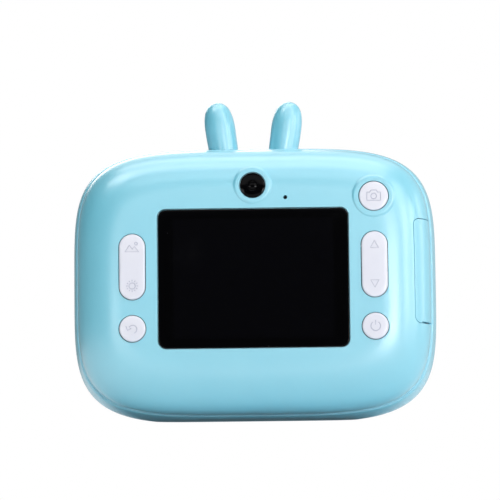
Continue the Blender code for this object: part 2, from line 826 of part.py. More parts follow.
def boards():
    board_front = BOARD_REAR + BOARD_THICK
    main = box_between(
        "main_board", (-28 * MM, BOARD_REAR, 15 * MM), (28 * MM, board_front, 69 * MM), circuit_board()
    )
    for i, (x, z) in enumerate(BOARD_SCREW_PLACES):
        cut(
            main,
            rod_along_y(
                f"main_board_hole{i}", x * MM, z * MM, -12 * MM, -8 * MM, 1.1 * MM, circuit_board(), 10
            ),
        )
    for name, x_in, x_out, z_low, z_high, side in (
        ("left_key_board", 30.0, 42.5, 22.5, 61.5, -1),
        ("right_key_board", 30.0, 43.5, 22.5, 70.5, 1),
    ):
        ends = sorted((side * x_in * MM, side * x_out * MM))
        board = box_between(
            name, (ends[0], BOARD_REAR, z_low * MM), (ends[1], board_front, z_high * MM), circuit_board()
        )
        if side > 0:
            join(
                board,
                box_between(
                    "port_tab", (42 * MM, BOARD_REAR, 30 * MM), (49.6 * MM, board_front, 59 * MM),
                    circuit_board()
                ),
            )
        for i, z in enumerate(KEY_POST_HEIGHTS):
            cut(
                board,
                rod_along_y(
                    f"{name}_hole{i}",
                    side * KEY_POST_X,
                    z,
                    -12 * MM,
                    -8 * MM,
                    1.2 * MM,
                    circuit_board(),
                    10,
                ),
            )
    chip = material("chip_black", (0.015, 0.015, 0.017), 0.4)
    chip_from = board_front + GAP
    box_between("processor", (-14 * MM, chip_from, 40 * MM), (0, chip_from + 1.2 * MM, 54 * MM), chip)
    box_between("memory_chip", (5 * MM, chip_from, 43 * MM), (14 * MM, chip_from + 0.9 * MM, 51 * MM), chip)


def sockets():
    usb_centre = (SOCKET_MOUTH_X - 2.75 * MM, *USB_PLACE)
    usb = box("usb_socket", usb_centre, (5.5 * MM, 2.6 * MM, 7.5 * MM), steel())
    cut(usb, box("usb_mouth", (SOCKET_MOUTH_X - MM, *USB_PLACE), (6.5 * MM, 1.9 * MM, 6.8 * MM), steel()))
    join(
        usb,
        box("usb_tongue", (SOCKET_MOUTH_X - 3 * MM, *USB_PLACE), (4.2 * MM, 0.6 * MM, 3.8 * MM), steel()),
    )
    card_depth = 10.3 * MM
    card_centre = (SOCKET_MOUTH_X - card_depth / 2, *CARD_PLACE)
    card = box("card_socket", card_centre, (card_depth, 1.5 * MM, 12 * MM), steel())
    cut(
        card,
        box(
            "card_mouth", (SOCKET_MOUTH_X - 3.5 * MM, *CARD_PLACE), (11 * MM, 0.8 * MM, 11.2 * MM), steel()
        ),
    )


def screen_module():
    low = REAR_INSIDE + GAP
    frame = box_between(
        "lcd_frame", (-30.3 * MM, low, SCREEN_Z - 21.5 * MM),
        (30.3 * MM, low + 2.6 * MM, SCREEN_Z + 21.5 * MM), steel()
    )
    cut(
        frame,
        box_between(
            "lcd_pocket", (-29.9 * MM, low - MM, SCREEN_Z - 21.1 * MM),
            (29.9 * MM, low + 2.0 * MM, SCREEN_Z + 21.1 * MM),
            steel(),
        ),
    )
    box_between(
        "lcd_glass", (-29.5 * MM, low, SCREEN_Z - 20.7 * MM),
        (29.5 * MM, low + 1.6 * MM, SCREEN_Z + 20.7 * MM),
        dark_glass(),
    )


def ribbon(name, x, width, path, mat):
    """A flat cable of even thickness that follows a path of (y, z) points in millimetres."""
    thick = 0.3 * MM
    line = [Vector((y * MM, z * MM)) for y, z in path]
    sides = ([], [])
    for i, point in enumerate(line):
        before = line[max(i - 1, 0)]
        after = line[min(i + 1, len(line) - 1)]
        along = (after - before).normalized()
        across = Vector((-along.y, along.x)) * thick / 2
        sides[0].append(point + across)
        sides[1].append(point - across)
    outline = sides[0] + sides[1][::-1]
    rings = [[Vector((end * width / 2, y, z)) for y, z in outline] for end in (-1, 1)]
    return loft(name, rings, mat, (x, 0, 0))


def arc_path(middle, radius, start, stop, steps=4):
    """(y, z) points on an arc, angles in degrees from +Y towards +Z."""
    points = []
    for step in range(steps + 1):
        angle = math.radians(start + (stop - start) * step / steps)
        points.append((middle[0] + radius * math.cos(angle), middle[1] + radius * math.sin(angle)))
    return points


def flex_cables():
    ribbon(
        "lcd_flex", 0, 16 * MM,
        [(-15.8, 20.1)] + arc_path((-13.5, 17.6), 2.3, 180, 360, 8) + [(-11.2, 27.0)], flex_film(),
    )
    ribbon(
        "front_camera_flex", 0, 8 * MM,
        [(7.0, 30.7)] + arc_path((5.0, 23.6), 2.0, 0, -90) + arc_path((-6.8, 23.6), 2.0, -90, -180) + [
            (-8.8, 33.0)
        ],
        flex_film(),
    )
    ribbon(
        "rear_camera_flex", 0, 5 * MM,
        [(-13.0, 65.9), (-12.9, 64.5), (-12.4, 62.5), (-11.6, 61.0), (-11.2, 59.5), (-11.1, 54.0)],
        flex_film(),
    )


def wire(name, x_from, x_to, colour):
    """A battery lead: up from the battery, over, and down to the plug."""
    curve = bpy.data.curves.new(name, "CURVE")
    curve.dimensions = "3D"
    curve.bevel_depth = 0.5 * MM
    curve.bevel_resolution = 2
    curve.use_fill_caps = True
    spline = curve.splines.new("POLY")
    count = 13
    spline.points.add(count - 1)
    for i, point in enumerate(spline.points):
        share = i / (count - 1)
        angle = math.pi * share
        x = x_from + (x_to - x_from) * share
        y = 2.0 - 3.3 * (1 - math.cos(angle))
        z = 59.6 + 3.4 * math.sin(angle) + 2.4 * share
        point.co = (x * MM, y * MM, z * MM, 1.0)
    curve.materials.append(material(name + "_jacket", colour, 0.5))
    made = bpy.data.objects.new(name, curve)
    bpy.context.scene.collection.objects.link(made)


def power_parts():
    wrap = material("battery_wrap", (0.55, 0.57, 0.60), 0.35, 0.6)
    box("battery", (0, 2.0 * MM, 42 * MM), (50 * MM, 5 * MM, 34 * MM), wrap, 0.8 * MM)
    foam = material("foam", (0.05, 0.05, 0.05), 0.9)
    pad = box("battery_pad", (0, 5.05 * MM, 42 * MM), (48 * MM, 0.5 * MM, 30 * MM), foam)
    cut(pad, box("battery_pad_window", (0, 5.05 * MM, 42 * MM), (38 * MM, 2 * MM, 22 * MM), foam))
    white = material("plug_white", (0.8, 0.8, 0.76), 0.5)
    plug_from = BOARD_REAR + BOARD_THICK + GAP
    box_between(
        "battery_plug", (13 * MM, plug_from, 57.5 * MM), (20 * MM, plug_from + 3.4 * MM, 63.5 * MM), white
    )
    wire("battery_lead_red", 14.0, 15.2, (0.5, 0.02, 0.02))
    wire("battery_lead_black", 16.6, 17.8, (0.02, 0.02, 0.02))


def sound_parts():
    x, z = SPEAKER_PLACE
    face = FRONT_INSIDE - 1.0 * MM
    profile = [
        (SPEAKER_RADIUS, face),
        (SPEAKER_RADIUS, face - 1.6 * MM),
        (SPEAKER_RADIUS * 0.62, face - 2.6 * MM),
        (SPEAKER_RADIUS * 0.55, face - 2.6 * MM),
        (SPEAKER_RADIUS * 0.55, face - 4.4 * MM),
    ]
    turned("speaker", (x, 0, z), (0, 1, 0), profile, steel(), 24)
    cloth = material("speaker_cloth", (0.03, 0.03, 0.03), 0.95)
    rod_along_y("speaker_mesh", x, z, FRONT_INSIDE - 0.7 * MM, FRONT_INSIDE - 0.3 * MM, 6.5 * MM, cloth, 20)
    rod_along_y(
        "microphone",
        *MIC_PLACE,
        REAR_INSIDE + GAP + 0.4 * MM,
        REAR_INSIDE + 2.2 * MM,
        2.0 * MM,
        steel(),
        16,
    )


def camera_modules():
    glass = material("lens_glass", (0.02, 0.02, 0.05), 0.03)
    box("front_camera_board", (0, 7.0 * MM, CENTRE_Z), (22 * MM, 1.0 * MM, 22.4 * MM), circuit_board())
    barrel = box(
        "front_lens_barrel", (0, 9.3 * MM, CENTRE_Z), (14 * MM, 3.0 * MM, 14 * MM), black_plastic()
    )
    join(
        barrel,
        turned(
            "lens_tube", (0, 0, CENTRE_Z), (0, 1, 0), [(6.0 * MM, 10.0 * MM), (6.0 * MM, 16.2 * MM)],
            black_plastic(), 24
        ),
    )
    cut(barrel, rod_along_y("lens_seat", 0, CENTRE_Z, 13.2 * MM, 18 * MM, 4.8 * MM, black_plastic(), 24))
    dome = [(4.5 * MM, 13.5 * MM), (4.5 * MM, 14.0 * MM), (3.2 * MM, 14.7 * MM), (1.2 * MM, 15.1 * MM)]
    turned("front_lens_element", (0, 0, CENTRE_Z), (0, 1, 0), dome, glass, 24)
    module = box(
        "rear_camera_module", (0, -13.6 * MM, SELFIE_Z), (8.4 * MM, 3.8 * MM, 8.4 * MM), black_plastic()
    )
    join(
        module,
        turned(
            "selfie_tube", (0, 0, SELFIE_Z), (0, 1, 0), [(2.2 * MM, -18.0 * MM), (2.2 * MM, -14 * MM)],
            black_plastic(), 16
        ),
    )
    x, z = FLASH_PLACE
    flash = box("flash_board", (x, 11.6 * MM, z), (8 * MM, 1.0 * MM, 8 * MM), circuit_board())
    join(flash, box("flash_led", (x, 12.6 * MM, z), (3 * MM, 1.6 * MM, 3 * MM), circuit_board()))


def build():
    for old in list(bpy.data.objects):
        bpy.data.objects.remove(old, do_unlink=True)
    rear_shell()
    front_shell()
    ear("ear_left", -1)
    ear("ear_right", 1)
    windows()
    port_door()
    round_key("shutter_button", KEY_X, SHUTTER_Z, SHUTTER_RADIUS)
    round_key("power_button", KEY_X, ROUND_KEY_Z, ROUND_KEY_RADIUS)
    round_key("back_button", -KEY_X, ROUND_KEY_Z, ROUND_KEY_RADIUS)
    rocker("up_down_rocker", 1)
    rocker("mode_rocker", -1)
    screws()
    boards()
    switches()
    sockets()
    screen_module()
    flex_cables()
    power_parts()
    sound_parts()
    camera_modules()


build()
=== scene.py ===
import json
import math

import bmesh
import bpy
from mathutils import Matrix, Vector


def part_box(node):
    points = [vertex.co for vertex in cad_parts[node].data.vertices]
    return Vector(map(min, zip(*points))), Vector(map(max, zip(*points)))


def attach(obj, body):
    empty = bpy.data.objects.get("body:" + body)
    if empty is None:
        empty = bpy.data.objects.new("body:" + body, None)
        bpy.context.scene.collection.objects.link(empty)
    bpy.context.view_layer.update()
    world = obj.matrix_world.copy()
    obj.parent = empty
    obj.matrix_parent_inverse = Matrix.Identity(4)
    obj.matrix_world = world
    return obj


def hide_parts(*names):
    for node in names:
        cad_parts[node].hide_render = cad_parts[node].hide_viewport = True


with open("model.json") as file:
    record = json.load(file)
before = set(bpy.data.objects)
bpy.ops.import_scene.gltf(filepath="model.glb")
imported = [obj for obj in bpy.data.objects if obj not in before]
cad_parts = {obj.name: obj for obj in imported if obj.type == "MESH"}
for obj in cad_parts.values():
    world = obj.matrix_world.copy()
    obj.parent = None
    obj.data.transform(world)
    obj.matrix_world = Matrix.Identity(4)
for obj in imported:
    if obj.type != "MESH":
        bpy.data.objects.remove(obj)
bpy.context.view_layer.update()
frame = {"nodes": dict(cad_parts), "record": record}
mm = 0.001


def middleOf(node):
    low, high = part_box(node)
    return (low + high) / 2


def sizeOf(node):
    low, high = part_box(node)
    return high - low


def clearSelection():
    if bpy.context.mode != "OBJECT":
        bpy.ops.object.mode_set(mode="OBJECT")
    bpy.ops.object.select_all(action="DESELECT")


def activate(piece):
    clearSelection()
    piece.select_set(True)
    bpy.context.view_layer.objects.active = piece


def settle(name):
    # names the new primitive and puts its place into its mesh
    piece = bpy.context.active_object
    piece.name = name
    piece.data.name = name
    bpy.ops.object.transform_apply(location=True, rotation=True, scale=True)
    return piece


def editAll():
    bpy.ops.object.mode_set(mode="EDIT")
    bpy.ops.mesh.select_all(action="SELECT")


def pull(move):
    bpy.ops.mesh.extrude_region_move(TRANSFORM_OT_translate={"value": move})


def pullRing(move, ratio, centre):
    # extrudes what is selected, and scales it about a centre
    pull(move)
    bpy.ops.transform.resize(value=ratio, center_override=centre)


def addDisc(name, centre, radius, count, facing="-Y", fill="NGON"):
    clearSelection()
    turns = {"-Y": (math.pi / 2, 0, 0), "+Y": (-math.pi / 2, 0, 0), "+Z": (0, 0, 0)}
    bpy.ops.mesh.primitive_circle_add(
        vertices=count, radius=radius, fill_type=fill, location=centre, rotation=turns[facing]
    )
    return settle(name)


def addRod(name, start, end, radius, count=48):
    # a round bar between two points, mostly a cutter
    clearSelection()
    start, end = Vector(start), Vector(end)
    turn = (end - start).to_track_quat("Z", "Y").to_euler()
    bpy.ops.mesh.primitive_cylinder_add(
        vertices=count, radius=radius, depth=(end - start).length,
        location=(start + end) / 2, rotation=turn,
    )
    return settle(name)


def addBlock(name, low, high):
    clearSelection()
    low, high = Vector(low), Vector(high)
    bpy.ops.mesh.primitive_cube_add(size=1, location=(low + high) / 2, scale=high - low)
    return settle(name)


def addPlate(name, centre, width, height, corner, yFrom, yTo, steps=10):
    # a flat plate in XZ with round corners, from yFrom (its face) to yTo
    clearSelection()
    bpy.ops.mesh.primitive_plane_add(size=1, location=(centre.x, yTo, centre.z), rotation=(math.pi / 2, 0, 0))
    piece = settle(name)
    editAll()
    bpy.ops.transform.resize(value=(width, 1, height), center_override=(centre.x, yTo, centre.z))
    bpy.ops.mesh.bevel(offset=corner * 0.9995, segments=steps, affect="VERTICES")
    bpy.ops.mesh.remove_doubles(threshold=0.02 * mm)
    bpy.ops.mesh.select_all(action="SELECT")
    pull((0, yFrom - yTo, 0))
    bpy.ops.object.mode_set(mode="OBJECT")
    return piece


def insetFace(steps):
    # on the selected face: each step is (how far in, how far out along the normal)
    for inward, outward in steps:
        bpy.ops.mesh.inset(thickness=inward, depth=outward, use_boundary=True)


def roundEdge(radius, steps):
    # the quarter circle over a rim, as steps for insetFace
    found = []
    before = (0.0, 0.0)
    for step in range(1, steps + 1):
        angle = math.radians(90 * step / steps)
        now = (radius * (1 - math.cos(angle)), radius * math.sin(angle))
        found.append((now[0] - before[0], now[1] - before[1]))
        before = now
    return found


def mendNormals(piece):
    activate(piece)
    editAll()
    bpy.ops.mesh.remove_doubles(threshold=0.0005 * mm)
    bpy.ops.mesh.normals_make_consistent(inside=False)
    bpy.ops.object.mode_set(mode="OBJECT")
    return piece


def combine(piece, others, operation="DIFFERENCE", keepPaint=False):
    for other in others:
        activate(piece)
        tool = piece.modifiers.new("combine", "BOOLEAN")
        tool.operation = operation
        tool.solver = "EXACT"
        tool.object = other
        if keepPaint:
            tool.material_mode = "TRANSFER"
        bpy.ops.object.modifier_apply(modifier=tool.name)
        bpy.data.objects.remove(other, do_unlink=True)
    return piece


def selectEdges(piece, wanted):
    # selects the edges whose middle and sharpness (in degrees) wanted accepts
    activate(piece)
    bpy.ops.object.mode_set(mode="EDIT")
    bpy.ops.mesh.select_mode(type="EDGE")
    bpy.ops.mesh.select_all(action="DESELECT")
    mesh = bmesh.from_edit_mesh(piece.data)
    for edge in mesh.edges:
        if len(edge.link_faces) != 2:
            continue
        middle = (edge.verts[0].co + edge.verts[1].co) / 2
        if wanted(middle, math.degrees(edge.calc_face_angle(0))):
            edge.select_set(True)
    bmesh.update_edit_mesh(piece.data)


def editOuterFace(piece):
    # selects the face that lies furthest out on the screen's side
    activate(piece)
    bpy.ops.object.mode_set(mode="EDIT")
    bpy.ops.mesh.select_mode(type="FACE")
    bpy.ops.mesh.select_all(action="DESELECT")
    mesh = bmesh.from_edit_mesh(piece.data)
    min(mesh.faces, key=lambda face: face.calc_center_median().y).select_set(True)
    bmesh.update_edit_mesh(piece.data)


def softenEdges(piece, wanted, radius, segments=2):
    selectEdges(piece, wanted)
    bpy.ops.mesh.bevel(offset=radius, segments=segments, affect="EDGES", clamp_overlap=True)
    bpy.ops.object.mode_set(mode="OBJECT")


def smooth(piece, angle=35):
    activate(piece)
    bpy.ops.object.shade_smooth_by_angle(angle=math.radians(angle))
    return piece


def evenNormals(piece):
    # keeps flat faces flat where round edges run into them
    activate(piece)
    tool = piece.modifiers.new("evenNormals", "WEIGHTED_NORMAL")
    tool.keep_sharp = True
    bpy.ops.object.modifier_apply(modifier=tool.name)
    return piece


def place(piece, body, nodes, slotName, *finishes):
    # hangs a finished piece on its body, in the stead of its plain solids
    if finishes:
        piece.data.materials.clear()
    for finish in finishes:
        piece.data.materials.append(finish)
    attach(piece, body)
    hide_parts(*nodes)
    return piece


class Field:
    # a socket's value, which may vary over the surface
    def __init__(self, paint, socket):
        self.paint = paint
        self.socket = socket

    def calc(self, operation, first, second=0.0):
        return self.paint.node("ShaderNodeMath", {"operation": operation}, {0: first, 1: second})

    def __add__(self, other):
        return self.calc("ADD", self, other)

    def __radd__(self, other):
        return self.calc("ADD", other, self)

    def __sub__(self, other):
        return self.calc("SUBTRACT", self, other)

    def __rsub__(self, other):
        return self.calc("SUBTRACT", other, self)

    def __mul__(self, other):
        return self.calc("MULTIPLY", self, other)

    def __rmul__(self, other):
        return self.calc("MULTIPLY", other, self)

    def __pow__(self, other):
        return self.calc("POWER", self, other)

    def __gt__(self, other):
        return self.calc("GREATER_THAN", self, other)

    def __lt__(self, other):
        return self.calc("LESS_THAN", self, other)

    def wave(self):
        return self.calc("SINE", self)

    def size(self):
        return self.calc("ABSOLUTE", self)

    def between(self, low, high):
        # 0 at low, 1 at high, eased
        return self.paint.node(
            "ShaderNodeMapRange", {"interpolation_type": "SMOOTHSTEP"},
            {"Value": self, "From Min": low, "From Max": high},
        )


class Paint:
    def __init__(self, name, **values):
        self.material = bpy.data.materials.new(name)
        self.material.use_nodes = True
        self.tree = self.material.node_tree
        self.shader = self.tree.nodes["Principled BSDF"]
        self.where = self.node("ShaderNodeTexCoord", output="Object")
        self.set(**values)

    def node(self, kind, settings=None, sockets=None, output=0):
        made = self.tree.nodes.new(kind)
        for name, value in (settings or {}).items():
            setattr(made, name, value)
        for name, value in (sockets or {}).items():
            self.feed(made.inputs[name], value)
        return Field(self, made.outputs[output])

    def feed(self, socket, value):
        if isinstance(value, Field):
            self.tree.links.new(value.socket, socket)
        elif isinstance(value, tuple) and len(value) == 3 and socket.type == "RGBA":
            socket.default_value = (*value, 1.0)
        else:
            socket.default_value = value

    def set(self, **values):
        # baseColor=... goes to Base Color, and so on
        for name, value in values.items():
            spaced = "".join(" " + c if c.isupper() else c for c in name)
            spaced = " ".join(word.capitalize() for word in spaced.split())
            spaced = spaced.replace("Ior", "IOR")
            self.feed(self.shader.inputs[spaced], value)

    def noise(self, scale, detail=2.0, roughness=0.5, vector=None):
        return self.node(
            "ShaderNodeTexNoise", None,
            {"Vector": vector or self.where, "Scale": scale, "Detail": detail, "Roughness": roughness},
        )

    def cells(self, scale):
        return self.node("ShaderNodeTexVoronoi", None, {"Vector": self.where, "Scale": scale})

    def parts(self, centre=(0.0, 0.0, 0.0)):
        # x, y and z about a centre
        sockets = {0: self.where, 1: tuple(centre)}
        moved = self.node("ShaderNodeVectorMath", {"operation": "SUBTRACT"}, sockets)
        return [self.node("ShaderNodeSeparateXYZ", None, {0: moved}, output=i) for i in range(3)]

    def mix(self, share, first, second):
        return self.node("ShaderNodeMix", {"data_type": "RGBA"}, {0: share, 6: first, 7: second}, output=2)

    def bump(self, height, strength, depth):
        found = self.node("ShaderNodeBump", None, {"Height": height, "Strength": strength, "Distance": depth})
        self.set(normal=found)


def casePlastic(name, shade, deeper, rough, grain):
    # moulded plastic: faint cloudiness, a fine spark-eroded grain, a slightly uneven sheen
    paint = Paint(name, ior=1.70, specularIorLevel=1.0, coatWeight=1.0, coatRoughness=0.26, coatIor=2.0)
    cloud = paint.noise(24, 3, 0.55)
    paint.set(baseColor=paint.mix(cloud.between(0.3, 0.75), shade, deeper))
    paint.set(roughness=rough + 0.10 * (paint.noise(160, 2) - 0.5) + 0.05 * (paint.noise(900, 1) - 0.5))
    fine = paint.noise(1500, 3, 0.6)
    paint.bump(fine, grain, 0.05 * mm)
    return paint.material


def glossPlastic(name, shade, deeper, rough):
    paint = Paint(name, coatWeight=0.35, coatRoughness=0.08)
    cloud = paint.noise(90, 2, 0.5)
    paint.set(baseColor=paint.mix(cloud.between(0.35, 0.7), shade, deeper))
    paint.set(roughness=rough + 0.08 * (paint.noise(420, 2) - 0.5))
    paint.bump(paint.noise(260, 2), 0.03, 0.05 * mm)
    return paint.material


def blackGlass(name, centre, panel=None, clearRadius=0.0):
    # hard-coated black window with faint smears, dust and, on the screen, the panel behind it
    paint = Paint(name, specularIorLevel=0.10)
    x, _, z = paint.parts(centre)
    shade = (0.0012, 0.0012, 0.0016)
    smear = paint.noise(38, 4, 0.65).between(0.52, 0.75)
    dust = paint.cells(330)
    speck = (dust < 0.035) * (paint.noise(210, 1) > 0.66)
    base = paint.mix(smear * 0.5, shade, (0.0022, 0.0023, 0.0030))
    if panel:
        inside = (x.size() < panel[0]) * (z.size() < panel[1])
        base = paint.mix(inside * 0.6, base, (0.0024, 0.0024, 0.0034))
    base = paint.mix(speck * 0.35, base, (0.35, 0.36, 0.38))
    paint.set(baseColor=base)
    paint.set(roughness=0.07 + 0.10 * smear + 0.3 * speck)
    if clearRadius:
        reach = (x * x + z * z) ** 0.5
        paint.set(alpha=0.22 + 0.78 * reach.between(clearRadius * 0.94, clearRadius))
    return paint.material


def brushedMetal(name, shade, rough, metal=1.0):
    paint = Paint(name, metallic=metal)
    stretched = paint.node("ShaderNodeMapping", None, {"Vector": paint.where, "Scale": (1.0, 6.0, 26.0)})
    lines = paint.noise(240, 3, 0.6, stretched)
    tint = tuple(0.72 * part for part in shade)
    paint.set(baseColor=paint.mix(lines.between(0.3, 0.8), shade, tint))
    paint.set(roughness=rough + 0.2 * (lines - 0.5))
    paint.bump(lines, 0.08, 0.02 * mm)
    return paint.material


def circuitBoard(name):
    # green solder mask, copper runs showing through, and tinned pads
    paint = Paint(name, coatWeight=0.3, coatRoughness=0.15)
    x, _, z = paint.parts()
    bend = 0.35 * mm * (paint.noise(300, 1) - 0.5)
    runs = ((x + bend) * (2 * math.pi / (1.3 * mm))).wave() > 0.62
    rows = ((z + bend) * (2 * math.pi / (1.7 * mm))).wave() > 0.70
    area = paint.noise(95, 0) > 0.5
    copper = runs * area + rows * (1 - area)
    pads = paint.cells(620) < 0.20
    mask = paint.mix(copper, (0.012, 0.13, 0.06), (0.03, 0.24, 0.11))
    few = pads * (paint.noise(140, 1) > 0.58)
    paint.set(baseColor=paint.mix(few, mask, (0.62, 0.60, 0.52)))
    paint.set(metallic=few * 0.9)
    paint.set(roughness=0.42 - 0.12 * few)
    paint.bump(copper * 0.5 + few, 0.3, 0.03 * mm)
    return paint.material


def flexFilm(name):
    paint = Paint(name, coatWeight=0.2)
    x = paint.parts()[0]
    lines = (x * (2 * math.pi / (0.8 * mm))).wave().between(0.1, 0.4)
    paint.set(baseColor=paint.mix(lines, (0.36, 0.13, 0.015), (0.62, 0.30, 0.06)))
    paint.set(roughness=0.35 + 0.1 * (paint.noise(500) - 0.5))
    paint.bump(lines, 0.3, 0.02 * mm)
    return paint.material


def mattePlastic(name, shade, lighter, rough, scale=900, depth=0.05 * mm):
    paint = Paint(name)
    grain = paint.noise(scale, 3, 0.6)
    paint.set(baseColor=paint.mix(grain.between(0.35, 0.75), shade, lighter))
    paint.set(roughness=rough + 0.12 * (paint.noise(220) - 0.5))
    paint.bump(grain, 0.25, depth)
    return paint.material


def wovenCloth(name, shade, lighter, pitch):
    # fine cloth: two sets of threads, over and under
    paint = Paint(name)
    x, _, z = paint.parts()
    warp = (x * (math.pi / pitch)).wave().size()
    weft = (z * (math.pi / pitch)).wave().size()
    height = warp * 0.5 + weft * 0.5
    paint.set(baseColor=paint.mix(height.between(0.3, 0.95), shade, lighter))
    paint.set(roughness=0.9 - 0.1 * height)
    paint.bump(height, 0.6, 0.1 * mm)
    return paint.material


def lensGlass(name):
    paint = Paint(name, ior=1.5, coatWeight=0.6, coatRoughness=0.02)
    x, _, z = paint.parts(middleOf("front_lens_element"))
    reach = (x * x + z * z) ** 0.5
    rim = reach.between(1.6 * mm, 4.4 * mm)
    paint.set(baseColor=paint.mix(rim, (0.02, 0.012, 0.06), (0.004, 0.02, 0.03)))
    paint.set(roughness=0.03 + 0.04 * paint.noise(300))
    return paint.material


def frostedLens(name):
    # flash window: clear plastic with fine ridges
    paint = Paint(name, coatWeight=0.5, coatRoughness=0.05)
    x, _, z = paint.parts(middleOf("flash_window"))
    rings = ((x * x + z * z) ** 0.5 * (2 * math.pi / (0.45 * mm))).wave()
    paint.set(baseColor=paint.mix(rings.between(-0.6, 0.9), (0.74, 0.76, 0.70), (0.90, 0.90, 0.86)))
    paint.set(roughness=0.16 + 0.06 * rings)
    paint.bump(rings, 0.5, 0.08 * mm)
    return paint.material


blue = dict(shade=(0.205, 0.700, 0.870), deeper=(0.185, 0.675, 0.853))
earBlue = dict(shade=(0.205, 0.700, 0.865), deeper=(0.180, 0.665, 0.845))
white = dict(shade=(0.865, 0.865, 0.945), deeper=(0.835, 0.840, 0.930))

panelHalf = (24.5 * mm, 18.4 * mm)  # the screen's panel, half its width and height

paints = {
    "body_plastic": casePlastic("caseBlue", blue["shade"], blue["deeper"], 0.48, 0.10),
    "ear_silicone": casePlastic("earBlue", earBlue["shade"], earBlue["deeper"], 0.50, 0.16),
    "key_plastic": glossPlastic("keyWhite", white["shade"], white["deeper"], 0.24),
    "dark_glass": blackGlass("windowBlack", (0, 0, 0)),
    "panel_glass": blackGlass("panelBlack", middleOf("lcd_glass"), panelHalf),
    "lens_glass": lensGlass("coatedLens"),
    "flash_lens": frostedLens("flashRidges"),
    "circuit_board": circuitBoard("boardGreen"),
    "chip_black": mattePlastic("chipEpoxy", (0.012, 0.012, 0.013), (0.026, 0.026, 0.028), 0.5, 1600),
    "black_plastic": mattePlastic("mouldedBlack", (0.016, 0.016, 0.018), (0.03, 0.03, 0.034), 0.45),
    "flex_film": flexFilm("flexAmber"),
    "steel": brushedMetal("drawnSteel", (0.56, 0.56, 0.57), 0.32),
    "tray_aluminium": brushedMetal("pressedTray", (0.62, 0.62, 0.64), 0.38),
    "battery_wrap": brushedMetal("cellFoil", (0.56, 0.58, 0.61), 0.42, 0.7),
    "foam": mattePlastic("cellFoam", (0.035, 0.035, 0.037), (0.08, 0.08, 0.085), 0.9, 700, 0.3 * mm),
    "speaker_cloth": wovenCloth("speakerWeave", (0.012, 0.012, 0.013), (0.05, 0.05, 0.055), 0.22 * mm),
    "plug_white": mattePlastic("plugNylon", (0.74, 0.74, 0.70), (0.84, 0.84, 0.80), 0.45),
    "wire_red": mattePlastic("redJacket", (0.42, 0.015, 0.015), (0.56, 0.03, 0.03), 0.5),
    "wire_black": mattePlastic("blackJacket", (0.015, 0.015, 0.016), (0.03, 0.03, 0.03), 0.5),
}
# greyer paint for the engraved symbols' groove faces: painted shade in the grooves
keyGroovePaintedShade = mattePlastic("keyGroovePaintedShade", (0.60, 0.61, 0.72), (0.66, 0.67, 0.78), 0.5)
for row in frame["record"]["subparts"]:
    node = frame["nodes"][row["node"]]
    node.data.materials.clear()
    node.data.materials.append(paints[row["material_slot"]])
dustMesh = frame["nodes"]["microphone"].data  # the sound hole shows the black mesh over it
dustMesh.materials[0] = paints["speaker_cloth"]
print("paints ready")


shellLow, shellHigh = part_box("front_shell")
windowSink = 0.2 * mm

case = dict(
    halfWidth=shellHigh.x,
    top=shellHigh.z,
    halfHeight=42.9 * mm,
    power=4.35,
    points=208,
    rearFace=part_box("screen_window")[0].y - windowSink,
    seam=-5.6 * mm,
    widest=4.4 * mm,
    frontFace=shellHigh.y,
    gap=0.3 * mm,
    wall=2.4 * mm,
    rimInset=2.0 * mm,
    ledgeInset=1.2 * mm,
    shoulderWidth=15.0 * mm,
    shoulderDepth=12.0 * mm,
    shoulderPower=2.2,
    flatRing=0.7 * mm,  # keeps the flat faces' shading flat
)
case["centre"] = Vector((0, 0, case["top"] - case["halfHeight"]))
case["frontStart"] = case["seam"] + case["gap"]


def shoulderLine(offset, steps):
    # (inset, depth) over the soft shoulder of a surface that lies offset inside the outer one
    found = []
    for step in range(steps + 1):
        turn = math.radians(90 * step / steps)
        power = 2 / case["shoulderPower"]
        inset = (case["shoulderWidth"] - offset) * (1 - math.sin(turn) ** power)
        depth = (case["shoulderDepth"] - offset) * (1 - max(math.cos(turn), 0.0) ** power)
        found.append((offset + inset, offset + depth))
    return found


def rearLine(offset, steps):
    # from the flat face out over the shoulder to the straight rim
    start, face = case["rimInset"], case["rearFace"]
    line = [(start + inset, face + depth) for inset, depth in shoulderLine(offset, steps)]
    flat = (line[0][0] + case["flatRing"], line[0][1])
    return [flat] + line


def frontLine(offset, steps, flareSteps):
    # from the seam out along the flare, over the front shoulder, to the flat face
    line = []
    for step in range(flareSteps):
        share = step / flareSteps
        inset = case["ledgeInset"] * (1 - math.sin(math.radians(90 * share)))
        line.append((offset + inset, case["frontStart"] + share * (case["widest"] - case["frontStart"])))
    for inset, depth in reversed(shoulderLine(offset, steps)):
        line.append((inset, case["frontFace"] - depth))
    line.append((line[-1][0] + case["flatRing"], line[-1][1]))
    return line


def outlineFace(name, inset, y):
    # the case's outline as one face, squared off from a disc
    middle = case["centre"] + Vector((0, y, 0))
    piece = addDisc(name, middle, case["halfHeight"], case["points"])
    half = (case["halfWidth"] - inset, case["halfHeight"] - inset)
    for vertex in piece.data.vertices:
        angle = math.atan2(vertex.co.z - middle.z, vertex.co.x - middle.x)
        across = math.copysign(abs(math.cos(angle)) ** (2 / case["power"]), math.cos(angle))
        up = math.copysign(abs(math.sin(angle)) ** (2 / case["power"]), math.sin(angle))
        vertex.co = middle + Vector((half[0] * across, 0, half[1] * up))
    return piece


def caseLoft(name, line):
    # pulls the outline's face along a line of (inset, y), and leaves a closed solid
    piece = outlineFace(name, *line[0])
    editAll()
    for (oldInset, oldY), (inset, y) in zip(line, line[1:]):
        ratioX = (case["halfWidth"] - inset) / (case["halfWidth"] - oldInset)
        ratioZ = (case["halfHeight"] - inset) / (case["halfHeight"] - oldInset)
        pullRing((0, y - oldY, 0), (ratioX, 1, ratioZ), case["centre"] + Vector((0, y, 0)))
    return mendNormals(piece)


